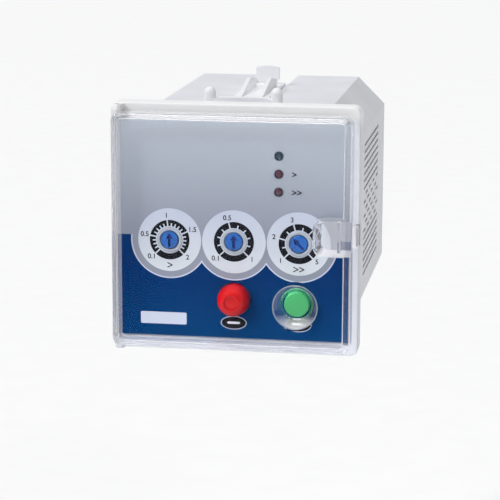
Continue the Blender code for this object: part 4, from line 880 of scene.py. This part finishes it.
def face_marks():
    """Oval button marks, the bare pale plate, arrow heads under the dials and beside the lamps."""
    button_mark(1, TEST_X)
    button_mark(2, RESET_X)
    pale_plate = plate("pale_plate", PLATE_X, PLATE_Z, PLATE_WIDTH, PLATE_HEIGHT, SHEET_FRONT - PLATE_PROUD,
                       SHEET_FRONT + SUNK, 0.5)
    dress(pale_plate, line_pale)
    chevrons("dial_1_mark", DIAL_XS[0], DIAL_ARROWS_Z, 1, DIAL_ARROW_SIZE)
    chevrons("dial_3_mark", DIAL_XS[2], DIAL_ARROWS_Z, 2, DIAL_ARROW_SIZE)
    chevrons("lamp_2_mark", LAMP_ARROW_XS[0], LAMP_ZS[1], 1, LAMP_ARROW_SIZE)
    chevrons("lamp_3_mark", LAMP_ARROW_XS[1], LAMP_ZS[2], 2, LAMP_ARROW_SIZE)


# Stage


def paper():
    """Pale floor, far larger than the unit, so that its edge stays out of the picture."""
    deselect()
    bpy.ops.mesh.primitive_plane_add(size=FLOOR_SIZE, location=(0, 0, FLOOR_LEVEL))
    floor = settle("studio_floor")
    pale = finish("studio_paper", (0.95, 0.95, 0.953), 0.7, grain=300.0, depth=0.0001, tone=0.01, strength=0.1)
    floor.data.materials.append(pale)


def sky():
    """Even light from all round."""
    world = bpy.context.scene.world or bpy.data.worlds.new("studio")
    bpy.context.scene.world = world
    world.use_nodes = True
    background = world.node_tree.nodes["Background"]
    background.inputs["Color"].default_value = SKY_COLOUR
    background.inputs["Strength"].default_value = SKY_STRENGTH


def studio_lamp(name, place, spread, power):
    """Soft lamp that shines from its place towards the unit."""
    light = bpy.data.lights.new(name, "SUN")
    light.angle = radians(spread)
    light.energy = power
    holder = bpy.data.objects.new(name, light)
    bpy.context.collection.objects.link(holder)
    holder.location = place
    holder.rotation_euler = (-Vector(place)).to_track_quat("-Z", "Y").to_euler()


def camera():
    holder = bpy.data.objects.new("camera", bpy.data.cameras.new("camera"))
    bpy.context.collection.objects.link(holder)
    holder.location = CAMERA_PLACE
    holder.rotation_euler = [radians(degrees) for degrees in CAMERA_TURN_DEG]
    holder.data.lens = CAMERA_LENS_MM
    holder.data.sensor_width = CAMERA_SENSOR_MM
    bpy.context.scene.camera = holder


def stage():
    """Pale floor, even light, soft lamps and the camera."""
    paper()
    bpy.context.scene.view_settings.view_transform = "Standard"
    sky()
    for name, place, spread, power in LAMPS:
        studio_lamp(name, place, spread, power)
    camera()


cad_finishes()
soft_mouldings()
cover()
for i, pointer in enumerate(POINTERS_DEG):
    knob(i, pointer)
    collar(i)
for i, material in enumerate((lamp_green, lamp_red, lamp_red)):
    lamp(i, material)
test_cap()
reset_cap()
face_fields()
for i, (steps, numbers) in enumerate(DIALS):
    dial(i, steps, numbers)
face_marks()
stage()

deselect()
